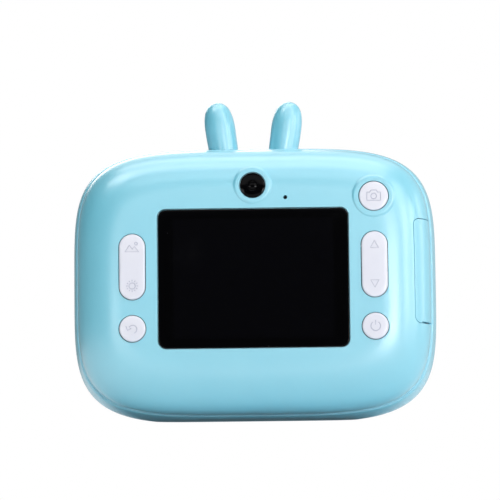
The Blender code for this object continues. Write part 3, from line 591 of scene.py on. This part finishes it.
def skinLevel(point):
    # 1 on the rear shell's outer skin, less inside it
    depth = max(point.y - case["rearFace"], 0.0)
    across = max(1 - depth / case["shoulderDepth"], 0.0) ** (case["shoulderPower"] / 2)
    rise = math.sqrt(1 - across * across) ** (2 / case["shoulderPower"])
    inset = case["rimInset"] + case["shoulderWidth"] * (1 - rise)
    x = abs(point.x) / (case["halfWidth"] - inset)
    z = abs(point.z - case["centre"].z) / (case["halfHeight"] - inset)
    return x ** case["power"] + z ** case["power"]


def skinPoint(z, y):
    # the point of the rear shell's right side at a height and a depth
    low, high = 0.0, case["halfWidth"]
    for _ in range(40):
        x = (low + high) / 2
        low, high = (low, x) if skinLevel(Vector((x, y, z))) > 1 else (x, high)
    return Vector((low, y, z))


def onSkin(point):
    return skinLevel(point) > 0.97


def rearSolid(name, offset, endY):
    return caseLoft(name, rearLine(offset, 18) + [(case["rimInset"] + offset, endY)])


door = dict(  # its outline is round about the hinge, so that it can swing
    low=28.0 * mm,
    high=60.0 * mm,
    reach=9.4 * mm,
    corner=2.0 * mm,
    thick=1.5 * mm,
    knuckle=1.3 * mm,
    bore=0.62 * mm,
    trim=0.25 * mm,
    hinge=middleOf("hinge_pin"),
    wallThick=2.0 * mm,
    openingFront=-6.55 * mm,
    showGap=0.24 * mm,
    edge=0.28 * mm,
    nailFrom=-15.4 * mm,
    nailTo=-8.4 * mm,
    nailRise=0.36 * mm,
    pocket=0.36 * mm,
    mouths={"usb_socket": (3.3 * mm, 8.2 * mm), "card_socket": (2.2 * mm, 12.7 * mm)},  # depth, height
)


def hingeDrum(name, grow, frontY):
    # a drum with round rims about the hinge, cut off at frontY
    hinge = door["hinge"]
    low, high = door["low"] - grow, door["high"] + grow
    rim = door["reach"] + grow
    piece = addRod(name, (hinge.x, hinge.y, low), (hinge.x, hinge.y, high), rim, 120)

    def onRim(middle, angle):
        reach = math.hypot(middle.x - hinge.x, middle.y - hinge.y)
        return angle > 60 and abs(reach - rim) < 0.1 * mm

    softenEdges(piece, onRim, door["corner"] + grow, 6)
    beyond = 40 * mm
    start = (hinge.x - beyond, frontY, low - beyond)
    end = (hinge.x + beyond, frontY + beyond, high + beyond)
    return combine(piece, [addBlock("drumTrim", start, end)])


rearShell = dict(
    windowLedge=2.3 * mm,
    windowThick=1.5 * mm,
    windowCorner=2.4 * mm,
    keyGap=0.22 * mm,
    keyEdge=0.55 * mm,  # soft edge round each key's opening
    windowEdge=0.25 * mm,
    selfieRing=5.6 * mm,
    shutterRing=6.3 * mm,
    selfieSkirt=1.6 * mm,  # how deep each ring reaches into the shell
    shutterSkirt=4.4 * mm,
    selfieSeat=1.1 * mm,
    selfieHole=2.6 * mm,
    micRadius=0.62 * mm,
    keyZone={"from": 31 * mm, "to": 42.5 * mm, "top": 57 * mm},
    sideFrom=46 * mm,
)


def raisedRing(name, centre, radius, skirt):
    # a soft raised ring: skirt, round shoulder, flat top
    face = case["rearFace"]
    piece = addDisc(name, (centre.x, face + skirt, centre.z), radius + 0.45 * mm, 96)
    editAll()
    line = (
        (0.45, skirt / mm), (0.42, 0.10), (0.26, 0.01), (0.13, -0.07), (0.02, -0.17), (-0.10, -0.28),
        (-0.26, -0.36), (-0.48, -0.40), (-0.8, -0.40),
    )
    for (oldReach, oldY), (reach, y) in zip(line, line[1:]):
        ratio = (radius + reach * mm) / (radius + oldReach * mm)
        pullRing((0, (y - oldY) * mm, 0), (ratio, 1, ratio), (centre.x, face + y * mm, centre.z))
    return mendNormals(piece)


def roundHole(name, node, grow, yFrom, yTo, radius=None, count=64):
    middle = middleOf(node)
    radius = radius or sizeOf(node).x / 2
    return addRod(name, (middle.x, yFrom, middle.z), (middle.x, yTo, middle.z), radius + grow, count)


def hingePocket(name, heights, depths):
    # a slanted groove from the door's corner at the hinge
    start, end = (skinPoint(height, depth) for height, depth in zip(heights, depths))
    along = (end - start).normalized() * 0.4 * mm
    return addRod(name, start - along, end + along, door["pocket"], 24)


pockets = [  # heights and depths of each groove's two ends
    ("lowPocket", (door["low"] - 1.3 * mm, door["low"] - 0.1 * mm), (-8.8 * mm, -6.6 * mm)),
    ("highPocket", (door["high"] + 2.1 * mm, door["high"] + 0.1 * mm), (-10.0 * mm, -6.6 * mm)),
]


def makeRearShell():
    face = case["rearFace"]
    inside = face + case["wall"]
    gap = case["gap"]
    snug = rearShell["keyGap"]
    rim, seam = case["rimInset"], case["seam"]
    inner = rearLine(case["wall"], 8) + [(rim + case["wall"], seam)]
    soft = [(rim + 0.25 * mm, seam), (rim + 0.07 * mm, seam - 0.07 * mm), (rim, seam - 0.25 * mm)]
    outer = soft + rearLine(0.0, 18)[::-1]
    piece = caseLoft("rearCase", inner + outer)
    selfie, shutter = middleOf("rear_lens_window"), middleOf("shutter_button")
    combine(
        piece,
        [
            raisedRing("selfieRing", selfie, rearShell["selfieRing"], rearShell["selfieSkirt"]),
            raisedRing("shutterRing", shutter, rearShell["shutterRing"], rearShell["shutterSkirt"]),
        ],
        "UNION",
    )
    window = sizeOf("screen_window")
    middle = middleOf("screen_window")
    ledge = rearShell["windowLedge"]
    behind = face - 3 * mm
    past = inside + 2 * mm
    cutters = [
        addPlate(
            "screenSeat", middle, window.x + 2 * gap, window.z + 2 * gap, rearShell["windowCorner"] + gap,
            face - 2 * mm, face + windowSink + rearShell["windowThick"],
        ),
        addPlate("screenHole", middle, window.x - 2 * ledge, window.z - 2 * ledge, 1 * mm, behind, past),
    ]
    for node in ("up_down_rocker", "mode_rocker"):
        width, length = rocker["width"] + 2 * snug, rocker["length"] + 2 * snug
        cutters.append(addPlate(node + "Hole", middleOf(node), width, length, width / 2, behind, past, 20))
    for node in ("power_button", "back_button"):
        cutters.append(roundHole(node + "Hole", node, snug, behind, past, roundKey[node]))
    cutters += [
        roundHole("shutterHole", "shutter_button", snug, behind, past + 1 * mm, roundKey["shutter_button"]),
        roundHole("selfieSeat", "rear_lens_window", gap, behind, face + rearShell["selfieSeat"]),
        roundHole("selfieHole", "rear_lens_window", 0, face - 4 * mm, past + 1 * mm, rearShell["selfieHole"]),
    ]
    combine(piece, cutters)
    keyZone = rearShell["keyZone"]

    def besideKey(middle):
        # within reach of a rocker's or a lower round key's opening
        return keyZone["from"] < abs(middle.x) < keyZone["to"] and middle.z < keyZone["top"]

    def onFace(middle, angle):
        return angle > 50 and middle.y < face + 0.6 * mm and abs(middle.x) < keyZone["to"]

    def onWindow(middle, angle):
        return onFace(middle, angle) and not besideKey(middle) and middle.y < face + 0.15 * mm

    def onKeyHole(middle, angle):
        return onFace(middle, angle) and besideKey(middle)

    def onOpening(middle, angle):
        onSide = middle.x > rearShell["sideFrom"] and middle.y < seam - 0.6 * mm
        return angle > 50 and onSide and onSkin(middle)

    softenEdges(piece, onKeyHole, rearShell["keyEdge"], 4)
    softenEdges(piece, onWindow, rearShell["windowEdge"])
    combine(piece, [roundHole("micHole", "microphone", 0, behind, past, rearShell["micRadius"], 24)])
    combine(piece, [hingeDrum("doorOpening", door["showGap"], door["openingFront"])])
    softenEdges(piece, onOpening, door["edge"], 3)
    combine(piece, [makePortWall()], "UNION")
    combine(piece, [hingePocket(name, heights, depths) for name, heights, depths in pockets])
    evenNormals(smooth(piece))
    return place(piece, "camera_body", ["rear_shell"], "body_plastic", paints["body_plastic"])


def makePortWall():
    # the floor behind the door, with the two socket mouths and the groove for the knuckle
    offset = door["thick"] + case["gap"]
    wall = rearSolid("portWall", offset, case["seam"] + 1 * mm)
    combine(wall, [rearSolid("portWallInside", offset + door["wallThick"], case["seam"] + 2 * mm)])
    combine(wall, [hingeDrum("portWallOutline", 1.5 * mm, case["seam"] - case["gap"])], "INTERSECT")
    hinge = door["hinge"]
    start = (hinge.x, hinge.y, door["low"] - case["gap"])
    end = (hinge.x, hinge.y, door["high"] + case["gap"])
    groove = addRod("hingeGroove", start, end, door["knuckle"] + case["gap"])
    mouths = []
    for node, (depth, height) in door["mouths"].items():
        low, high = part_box(node)
        middle = (low + high) / 2
        half = Vector((4 * mm, depth / 2, height / 2))
        centre = Vector((high.x, middle.y, middle.z))
        mouths.append(addBlock(node + "Mouth", centre - half, centre + half))
    return combine(wall, [groove] + mouths)


frontShell = dict(
    lipFront=-3.0 * mm,
    lipBack=-7.6 * mm,
    lipInner=5.8 * mm,
    lipOuter=4.7 * mm,
    postFront=15.2 * mm,
    postRadius=4 * mm,
    screwHead=2.8 * mm,
    screwWay=1.4 * mm,
    bezelHole=16.0 * mm,
    flashHole=2.9 * mm,
    soundHole=0.8 * mm,
    soundReach=3.4 * mm,
    edge=0.25 * mm,
)


def makeFrontShell():
    wall = case["wall"]
    # the wall's inner side from the front face back to the lip, round the lip, then the outer side
    inner = [(i, y) for i, y in frontLine(wall, 8, 2) if y > frontShell["lipFront"] + 0.5 * mm][::-1]
    start, ledge = case["frontStart"], case["ledgeInset"]
    lip = [
        (wall + 0.9 * mm, frontShell["lipFront"]), (frontShell["lipInner"], frontShell["lipFront"]),
        (frontShell["lipInner"], frontShell["lipBack"]), (frontShell["lipOuter"], frontShell["lipBack"]),
        (frontShell["lipOuter"], start),
    ]
    soft = [
        (ledge + 0.40 * mm, start),
        (ledge + 0.20 * mm, start + 0.04 * mm),
        (ledge + 0.06 * mm, start + 0.17 * mm),
    ]
    outer = soft + [(inset, max(y, start + 0.4 * mm)) for inset, y in frontLine(0.0, 18, 8)]
    piece = caseLoft("frontCase", inner + lip + outer)
    ports = addBlock(
        "lipGap", (40 * mm, -8 * mm, door["low"] - 4 * mm), (60 * mm, -5.35 * mm, door["high"] + 4 * mm)
    )
    combine(piece, [ports])
    posts = []
    recesses = []
    for i in range(1, 5):
        spot = middleOf(f"case_screw_{i}")

        def rodHere(name, yFrom, yTo, radius, count=48):
            return addRod(f"{name}{i}", (spot.x, yFrom, spot.z), (spot.x, yTo, spot.z), radius, count)

        posts.append(rodHere("post", start, frontShell["postFront"], frontShell["postRadius"]))
        recesses.append(rodHere("recess", -1.5 * mm, 20 * mm, frontShell["screwHead"]))
        recesses.append(rodHere("way", -8 * mm, -1 * mm, frontShell["screwWay"], 24))
    combine(piece, posts, "UNION")
    lensSpot = middleOf("front_lens_window")
    front = case["frontFace"]
    within, past = 12 * mm, 20 * mm
    holes = recesses + [
        addRod("bezelHole", (0, within, lensSpot.z), (0, past, lensSpot.z), frontShell["bezelHole"], 96),
        roundHole("flashHole", "flash_window", 0, within, past, frontShell["flashHole"], 48),
    ]
    speakerSpot = middleOf("speaker")
    for i in range(7):
        reach = frontShell["soundReach"] if i else 0.0
        x = speakerSpot.x + reach * math.cos(math.radians(60 * i))
        z = speakerSpot.z + reach * math.sin(math.radians(60 * i))
        holes.append(addRod(f"soundHole{i}", (x, within, z), (x, past, z), frontShell["soundHole"], 24))
    combine(piece, holes)

    def onFront(middle, angle):
        besideBezel = math.hypot(middle.x, middle.z - lensSpot.z) > frontShell["bezelHole"] + 1 * mm
        return angle > 50 and middle.y > front - 0.6 * mm and besideBezel

    softenEdges(piece, onFront, frontShell["edge"])
    below = addBlock("baseCut", (-60 * mm, -30 * mm, -20 * mm), (60 * mm, 30 * mm, 0))
    combine(piece, [below])
    evenNormals(smooth(piece))
    return place(piece, "camera_body", ["front_shell"], "body_plastic", paints["body_plastic"])


rocker = dict(width=7.9 * mm, length=20.1 * mm, back=-16.6 * mm, edge=0.55 * mm, symbolReach=5.9 * mm)
roundKey = dict(shutter_button=4.45 * mm, power_button=4.02 * mm, back_button=4.02 * mm, back=-15.6 * mm)
crownSteps = [(0.6 * mm, 0.035 * mm), (0.8 * mm, 0.025 * mm), (0.8 * mm, 0.01 * mm)]  # inwards, outwards
groove = dict(width=0.32 * mm, sink=0.03 * mm)


def arc(centreX, centreZ, radius, start, stop, steps):
    found = []
    for step in range(steps + 1):
        angle = math.radians(start + (stop - start) * step / steps)
        found.append((centreX + radius * math.cos(angle), centreZ + radius * math.sin(angle)))
    return found


def ringStroke(x, z, radius, steps=28):
    return arc(x, z, radius, 0, 360 - 360 / steps, steps - 1), True


symbols = {  # strokes as ((x, z) points in mm about the key's middle, closed)
    "camera": [
        ([(-2.1, -1.45), (2.1, -1.45), (2.1, 1.05), (1.2, 1.05),
          (0.8, 1.7), (-0.8, 1.7), (-1.2, 1.05), (-2.1, 1.05)], True),
        ringStroke(0, -0.15, 0.85),
    ],
    "power": [
        (arc(0, -0.1, 1.45, 125, 415, 22), False),
        ([(0, 0.3), (0, 1.75)], False),
    ],
    "back": [
        (arc(0.1, -0.25, 1.25, -70, 150, 18), False),
        ([(-2.0, 0.75), (-1.5, -0.55), (-0.35, 0.1)], False),
    ],
    "hills": [  # two hills on a ground line, and a sun
        ([(-2.1, -1.3), (-0.75, 0.75), (0.1, -0.5), (0.75, 0.3), (2.1, -1.3)], True),
        ringStroke(1.25, 1.2, 0.42, 16),
    ],
    "gear": [ringStroke(0, 0, 0.95)] + [
        ([arc(0, 0, reach, 30 * k, 30 * k, 1)[0] for reach in (1.38, 1.85)], False) for k in range(12)
    ],
    "up": [([(-1.25, -0.95), (1.25, -0.95), (0, 1.25)], True)],
    "down": [([(-1.25, 0.95), (0, -1.25), (1.25, 0.95)], True)],
}


def engrave(piece, symbol, x, z, faceY):
    # round grooves along the symbol's strokes, their faces in a greyer paint that is painted shade in the
    # grooves
    tools = []
    for i, (points, closed) in enumerate(symbols[symbol]):
        line = bpy.data.curves.new(f"stroke{i}", "CURVE")
        line.dimensions = "3D"
        line.bevel_depth = groove["width"] / 2
        line.bevel_resolution = 2
        line.use_fill_caps = True
        spline = line.splines.new("POLY")
        spline.points.add(len(points) - 1)
        for point, (px, pz) in zip(spline.points, points):
            point.co = (x + px * mm, faceY + groove["sink"], z + pz * mm, 1)
        spline.use_cyclic_u = closed
        tool = bpy.data.objects.new(f"stroke{i}", line)
        bpy.context.scene.collection.objects.link(tool)
        activate(tool)
        bpy.ops.object.convert(target="MESH")
        tool = mendNormals(bpy.context.active_object)
        # the groove faces take the greyer paint, a painted shade in the engraving
        tool.data.materials.append(keyGroovePaintedShade)
        tools.append(tool)
    combine(piece, tools, keepPaint=True)


def crown(piece):
    # rounds the rim of a key's outer face and crowns it slightly
    editOuterFace(piece)
    insetFace(roundEdge(rocker["edge"], 5) + crownSteps)
    mendNormals(piece)
    piece.data.materials.append(paints["key_plastic"])


def makeKeys():
    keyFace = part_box("shutter_button")[0].y
    front = keyFace + rocker["edge"] + sum(rise for _, rise in crownSteps)
    for node, symbol in (("shutter_button", "camera"), ("power_button", "power"), ("back_button", "back")):
        spot = middleOf(node)
        piece = addDisc(node + "Cap", (spot.x, roundKey["back"], spot.z), roundKey[node], 96)
        editAll()
        pull((0, front - roundKey["back"], 0))
        bpy.ops.object.mode_set(mode="OBJECT")
        crown(piece)
        engrave(piece, symbol, spot.x, spot.z, keyFace)
        place(smooth(piece, 40), node, [node], "key_plastic")
    for node, upper, lower in (("up_down_rocker", "up", "down"), ("mode_rocker", "hills", "gear")):
        spot = middleOf(node)
        width, length = rocker["width"], rocker["length"]
        piece = addPlate(node + "Cap", spot, width, length, width / 2, front, rocker["back"], 24)
        crown(piece)
        engrave(piece, upper, spot.x, spot.z + rocker["symbolReach"], keyFace)
        engrave(piece, lower, spot.x, spot.z - rocker["symbolReach"], keyFace)
        place(smooth(piece, 40), node, [node], "key_plastic")


ear = dict(
    # height above the case, middle's distance from the centre plane, half width, all in mm
    sections=(
        (-2.4, 9.1, 4.55), (0.6, 9.5, 4.65), (4.6, 10.1, 4.75), (8.6, 10.6, 4.72),
        (11.6, 10.95, 4.2), (13.6, 11.1, 3.3), (14.8, 11.15, 2.0), (15.3, 11.15, 0.7),
    ),
    depth=0.9,
    around=64,
    between=4,
    y=4.4 * mm,
)


def blendSections(rows, between):
    # a smooth run of rows through the given ones
    found = []
    for i in range(len(rows) - 1):
        before = rows[max(i - 1, 0)]
        first, second = rows[i], rows[i + 1]
        after = rows[min(i + 2, len(rows) - 1)]
        for step in range(between):
            t = step / between
            row = []
            for a, b, c, d in zip(before, first, second, after):
                curved = (2 * a - 5 * b + 4 * c - d) * t * t + (3 * b - a - 3 * c + d) * t ** 3
                row.append(0.5 * (2 * b + (c - a) * t + curved))
            found.append(tuple(row))
    found.append(rows[-1])
    return found


def makeEar(name, node, side):
    rows = blendSections(ear["sections"], ear["between"])
    height, middle, half = rows[0]
    start = Vector((side * middle * mm, ear["y"], case["top"] + height * mm))
    piece = addDisc(name, start, half * mm, ear["around"], "+Z")
    editAll()
    bpy.ops.transform.resize(value=(1, ear["depth"], 1), center_override=start)
    for old, new in zip(rows, rows[1:]):
        move = (side * (new[1] - old[1]) * mm, 0, (new[0] - old[0]) * mm)
        ratio = new[2] / old[2]
        centre = (side * new[1] * mm, ear["y"], case["top"] + new[0] * mm)
        pullRing(move, (ratio, ratio, 1), centre)
    mendNormals(piece)
    seat = [(inset - 0.05 * mm, y) for inset, y in frontLine(0.0, 12, 6)]
    combine(piece, [caseLoft("earSeat", seat)])
    smooth(piece, 50)
    return place(piece, "camera_body", [node], "ear_silicone", paints["ear_silicone"])


def makeDoor():
    hinge = door["hinge"]
    leaf = rearSolid("portDoorLeaf", 0.0, case["seam"])
    combine(leaf, [rearSolid("portDoorInside", door["thick"], case["seam"] + 1 * mm)])
    combine(leaf, [hingeDrum("portDoorOutline", 0.0, hinge.y + door["trim"])], "INTERSECT")
    softenEdges(leaf, lambda middle, angle: angle > 50 and onSkin(middle), door["edge"], 3)
    low, high = door["low"], door["high"]
    knuckle = addRod("knuckle", (hinge.x, hinge.y, low), (hinge.x, hinge.y, high), door["knuckle"])
    combine(leaf, [knuckle], "UNION")
    nail = addBlock(
        "nailGap", (hinge.x - 12 * mm, door["nailFrom"], low - 1 * mm),
        (hinge.x + 5 * mm, door["nailTo"], low + door["nailRise"]),
    )
    start, end = (hinge.x, hinge.y, low - 5 * mm), (hinge.x, hinge.y, high + 5 * mm)
    bore = addRod("pinBore", start, end, door["bore"], 32)
    combine(leaf, [nail, bore])
    evenNormals(smooth(leaf))
    return place(leaf, "port_door", ["port_door"], "body_plastic", paints["body_plastic"])


def makeScreen():
    middle, size = middleOf("screen_window"), sizeOf("screen_window")
    low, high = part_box("screen_window")
    screenRim = 0.25 * mm
    piece = addPlate(
        "screenGlass", middle, size.x, size.z, rearShell["windowCorner"], low.y + screenRim, high.y, 12
    )
    editOuterFace(piece)
    insetFace(roundEdge(screenRim, 4) + [(0.3 * mm, 0)])
    mendNormals(piece)
    evenNormals(smooth(piece, 40))
    glass = blackGlass("screenBlack", middle, panelHalf)
    return place(piece, "camera_body", ["screen_window"], "dark_glass", glass)


lensRim = 0.2 * mm
selfieSteps = [
    (1.9 * mm, 0.0), (0.12 * mm, -0.10 * mm), (0.25 * mm, 0.0), (0.10 * mm, -0.12 * mm),
    (0.25 * mm, 0.06 * mm), (0.35 * mm, 0.05 * mm), (0.3 * mm, 0.015 * mm),
]


def lensDisc(name, node, facing, body, steps, paint):
    # a round window, shaped by inset steps from its outer rim to its middle
    low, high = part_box(node)
    middle, size = middleOf(node), sizeOf(node)
    back, front = (high.y, low.y) if facing == "-Y" else (low.y, high.y)
    piece = addDisc(name, (middle.x, back, middle.z), size.x / 2, 96, facing)
    edge = lensRim if facing == "-Y" else -lensRim
    editAll()
    pull((0, front + edge - back, 0))
    insetFace(roundEdge(lensRim, 3) + steps)
    bpy.ops.object.mode_set(mode="OBJECT")
    mendNormals(piece)
    smooth(piece, 30)
    return place(piece, body, [node], "dark_glass", paint)


def makeBezel():
    node = "front_bezel"
    low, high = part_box(node)
    middle = middleOf(node)
    radius = (high.x - low.x) / 2
    front = case["frontFace"]
    window = sizeOf("front_lens_window").x / 2
    neck = frontShell["bezelHole"] - case["gap"]
    # (radius, y) over the rim, in to the window's seat and back through the case
    profile = [
        (radius - 1.0 * mm, front + 0.3 * mm), (radius - 0.3 * mm, front + 0.6 * mm),
        (radius, front + 1.3 * mm),
        (radius - 0.1 * mm, front + 1.8 * mm), (radius - 0.5 * mm, front + 2.6 * mm),
        (radius - 1.1 * mm, front + 3.3 * mm), (radius - 1.8 * mm, front + 3.8 * mm),
        (radius - 2.6 * mm, front + 4.0 * mm), (window + 1.6 * mm, front + 3.85 * mm),
        (window + 0.9 * mm, front + 3.5 * mm), (window + 0.3 * mm, front + 2.7 * mm),
        (window + 0.3 * mm, front + 0.8 * mm), (window - 1.5 * mm, front + 0.8 * mm),
        (window - 1.5 * mm, low.y), (neck, low.y), (neck, front + 0.3 * mm),
    ]
    piece = addDisc("lensBezel", (middle.x, profile[0][1], middle.z), profile[0][0], 128, "+Y", "NOTHING")
    bpy.ops.object.mode_set(mode="EDIT")
    bpy.ops.mesh.select_mode(type="EDGE")
    bpy.ops.mesh.select_all(action="SELECT")
    for (oldRadius, oldY), (newRadius, y) in zip(profile, profile[1:]):
        ratio = newRadius / oldRadius
        pullRing((0, y - oldY, 0), (ratio, 1, ratio), (middle.x, y, middle.z))
    # the last ring closes onto the first
    bpy.ops.mesh.select_all(action="DESELECT")
    bpy.ops.mesh.select_mode(type="EDGE")
    mesh = bmesh.from_edit_mesh(piece.data)
    for edge in mesh.edges:
        edge.select_set(len(edge.link_faces) == 1)
    bmesh.update_edit_mesh(piece.data)
    bpy.ops.mesh.bridge_edge_loops()
    mendNormals(piece)
    smooth(piece, 40)
    return place(piece, "camera_body", [node], "key_plastic", paints["key_plastic"])


flash = dict(
    rim=0.3 * mm,
    dome=[(0.8 * mm, 0.08 * mm), (0.7 * mm, 0.02 * mm)],  # inwards, outwards
)


def makeFlash():
    low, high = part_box("flash_window")
    middle, size = middleOf("flash_window"), sizeOf("flash_window")
    piece = addDisc("flashLens", (middle.x, low.y, middle.z), size.x / 2, 64, "+Y")
    editAll()
    pull((0, high.y - low.y - flash["rim"], 0))
    insetFace(roundEdge(flash["rim"], 4) + flash["dome"])
    bpy.ops.object.mode_set(mode="OBJECT")
    mendNormals(piece)
    smooth(piece, 40)
    return place(piece, "camera_body", ["flash_window"], "flash_lens", paints["flash_lens"])


makeRearShell()
print("rear case shaped")
makeFrontShell()
print("front case shaped")
makeKeys()
print("keys shaped")
makeEar("earLeft", "ear_left", -1)
makeEar("earRight", "ear_right", 1)
print("ears shaped")
makeDoor()
print("port door shaped")
makeScreen()
lensDisc("selfieGlass", "rear_lens_window", "-Y", "camera_body", selfieSteps,
         blackGlass("selfieBlack", middleOf("rear_lens_window")))
lensDisc("frontGlass", "front_lens_window", "+Y", "camera_body", [(0.3 * mm, 0.0)],
         blackGlass("frontBlack", middleOf("front_lens_window"), None, 4.7 * mm))
makeBezel()
makeFlash()
print("windows and bezel shaped")


stage = dict(
    floorSize=8.0,
    floorDrop=0.2 * mm,
    floorShade=(0.80, 0.81, 0.82),
    ambient=(0.95, 0.98, 1.0),
    ambientStrength=0.72,
    nearGlow=0.05,
    farGlow=0.45,
    glowReach=(0.45, 1.8),  # metres from the object, where the floor's own light grows
    ambientRamps={"Y": (-0.9, 0.4, 0.10, 1.0), "X": (-0.9, 0.7, 0.02, 0.90)},  # from, to, share, share
)


def makeFloor():
    clearSelection()
    bpy.ops.mesh.primitive_plane_add(size=stage["floorSize"], location=(0, 0, -stage["floorDrop"]))
    floor = settle("floor")
    paint = Paint("floorPaper", roughness=0.9, emissionStrength=1.0)
    x, y, _ = paint.parts()
    # the floor glows as painted light: weakly near the object, more strongly farther out
    far = ((x * x + y * y) ** 0.5).between(*stage["glowReach"])
    paint.set(emissionColor=paint.mix(far, (stage["nearGlow"],) * 3, (stage["farGlow"],) * 3))
    dimmer = tuple(0.97 * c for c in stage["floorShade"])
    paint.set(baseColor=paint.mix(paint.noise(6, 4), stage["floorShade"], dimmer))
    # seen from underneath, the floor is clear
    clear = paint.node("ShaderNodeBsdfTransparent")
    under = paint.node("ShaderNodeNewGeometry", output="Backfacing")
    solid = Field(paint, paint.shader.outputs[0])
    seen = paint.node("ShaderNodeMixShader", None, {0: under, 1: solid, 2: clear})
    paint.tree.links.new(seen.socket, paint.tree.nodes["Material Output"].inputs["Surface"])
    floor.data.materials.append(paint.material)


lights = {
    # place, size and power in watts; all are white and aim at the object's middle
    "top": dict(place=(0, 0, 1.0), size=(1.0, 0.35), power=2.2),
    "topBack": dict(place=(0, 0.5, 0.9), size=(1.0, 0.35), power=1.0),
    "topFront": dict(place=(0, -0.42, 0.95), size=(1.0, 0.35), power=2.1),
    "high": dict(place=(0.1, -0.8, 0.72), size=(0.9, 0.3), power=1.0),
    "highRight": dict(place=(0.7, -0.75, 0.75), size=(0.5, 0.4), power=1.1),
    "face": dict(place=(0, -1.27, 0.40), size=(0.9, 0.26), power=0.8),
    "faceRight": dict(place=(0.45, -1.2, 0.40), size=(0.4, 0.3), power=0.5),
    "right": dict(place=(0.71, -0.71, 0.25), size=(0.22, 0.42), power=0.95),
    "sideRight": dict(place=(0.90, -0.42, 0.25), size=(0.22, 0.42), power=0.9),
    "backRight": dict(place=(1.0, 0.1, 0.3), size=(0.3, 0.5), power=0.7),
    "topLeft": dict(place=(-0.54, -0.45, 0.88), size=(0.35, 0.3), power=0.9),
    "lowRight": dict(place=(0.42, -1.25, 0.09), size=(0.35, 0.13), power=1.9),
    "lowLeft": dict(place=(-0.42, -1.25, 0.09), size=(0.35, 0.13), power=0.6),
    "back": dict(place=(-0.4, 1.2, 0.85), size=(0.9, 0.6), power=5.0),
}


def makeLights():
    for name, row in lights.items():
        data = bpy.data.lights.new(name, "AREA")
        data.shape = "RECTANGLE"
        data.size, data.size_y = row["size"]
        data.energy = row["power"]
        lamp = bpy.data.objects.new(name, data)
        lamp.location = row["place"]
        aim = Vector((0, 0, 45 * mm)) - Vector(row["place"])
        lamp.rotation_euler = aim.to_track_quat("-Z", "Y").to_euler()
        bpy.context.scene.collection.objects.link(lamp)


def makeWorld():
    # white for the eye; as light, dimmer in front of the object and to its left
    world = bpy.data.worlds.new("studio")
    bpy.context.scene.world = world
    world.use_nodes = True
    tree = world.node_tree
    link = tree.links.new
    around = tree.nodes["Background"]
    around.inputs["Color"].default_value = (*stage["ambient"], 1)
    direction = tree.nodes.new("ShaderNodeTexCoord")
    axes = tree.nodes.new("ShaderNodeSeparateXYZ")
    link(direction.outputs["Generated"], axes.inputs[0])
    shares = []
    for axis, ends in stage["ambientRamps"].items():
        ramp = tree.nodes.new("ShaderNodeMapRange")
        link(axes.outputs[axis], ramp.inputs["Value"])
        for name, end in zip(("From Min", "From Max", "To Min", "To Max"), ends):
            ramp.inputs[name].default_value = end
        shares.append(ramp)
    both = tree.nodes.new("ShaderNodeMath")
    both.operation = "MULTIPLY"
    link(shares[0].outputs[0], both.inputs[0])
    link(shares[1].outputs[0], both.inputs[1])
    strength = tree.nodes.new("ShaderNodeMath")
    strength.operation = "MULTIPLY"
    strength.inputs[1].default_value = stage["ambientStrength"]
    link(both.outputs[0], strength.inputs[0])
    link(strength.outputs[0], around.inputs["Strength"])
    backdrop = tree.nodes.new("ShaderNodeBackground")
    backdrop.inputs["Color"].default_value = (1, 1, 1, 1)
    path = tree.nodes.new("ShaderNodeLightPath")
    mixed = tree.nodes.new("ShaderNodeMixShader")
    link(path.outputs["Is Camera Ray"], mixed.inputs[0])
    link(around.outputs[0], mixed.inputs[1])
    link(backdrop.outputs[0], mixed.inputs[2])
    link(mixed.outputs[0], tree.nodes["World Output"].inputs["Surface"])


view = dict(
    place=(16.8 * mm, -919.6 * mm, -60.8 * mm),
    yaw=-1.13,
    pitch=7.05,
    roll=-0.6,
    lens=213.9,
    sensor=36.0,
)


def makeCamera():
    data = bpy.data.cameras.new("camera")
    data.lens = view["lens"]
    data.sensor_width = view["sensor"]
    data.clip_start = 0.05
    data.clip_end = 50
    eye = bpy.data.objects.new("camera", data)
    yaw, pitch, roll = (math.radians(view[key]) for key in ("yaw", "pitch", "roll"))
    ahead = Vector((math.sin(yaw) * math.cos(pitch), math.cos(yaw) * math.cos(pitch), math.sin(pitch)))
    level = ahead.cross(Vector((0, 0, 1))).normalized()
    up = level.cross(ahead)
    right = level * math.cos(roll) + up * math.sin(roll)
    up = up * math.cos(roll) - level * math.sin(roll)
    turned = eye.matrix_world.to_3x3()
    for row in range(3):
        turned[row] = (right[row], up[row], -ahead[row])
    eye.matrix_world = turned.to_4x4()
    eye.location = view["place"]
    bpy.context.scene.collection.objects.link(eye)
    bpy.context.scene.camera = eye


makeFloor()
makeLights()
makeWorld()
makeCamera()
bpy.context.scene.view_settings.view_transform = "Standard"
print("stage ready")
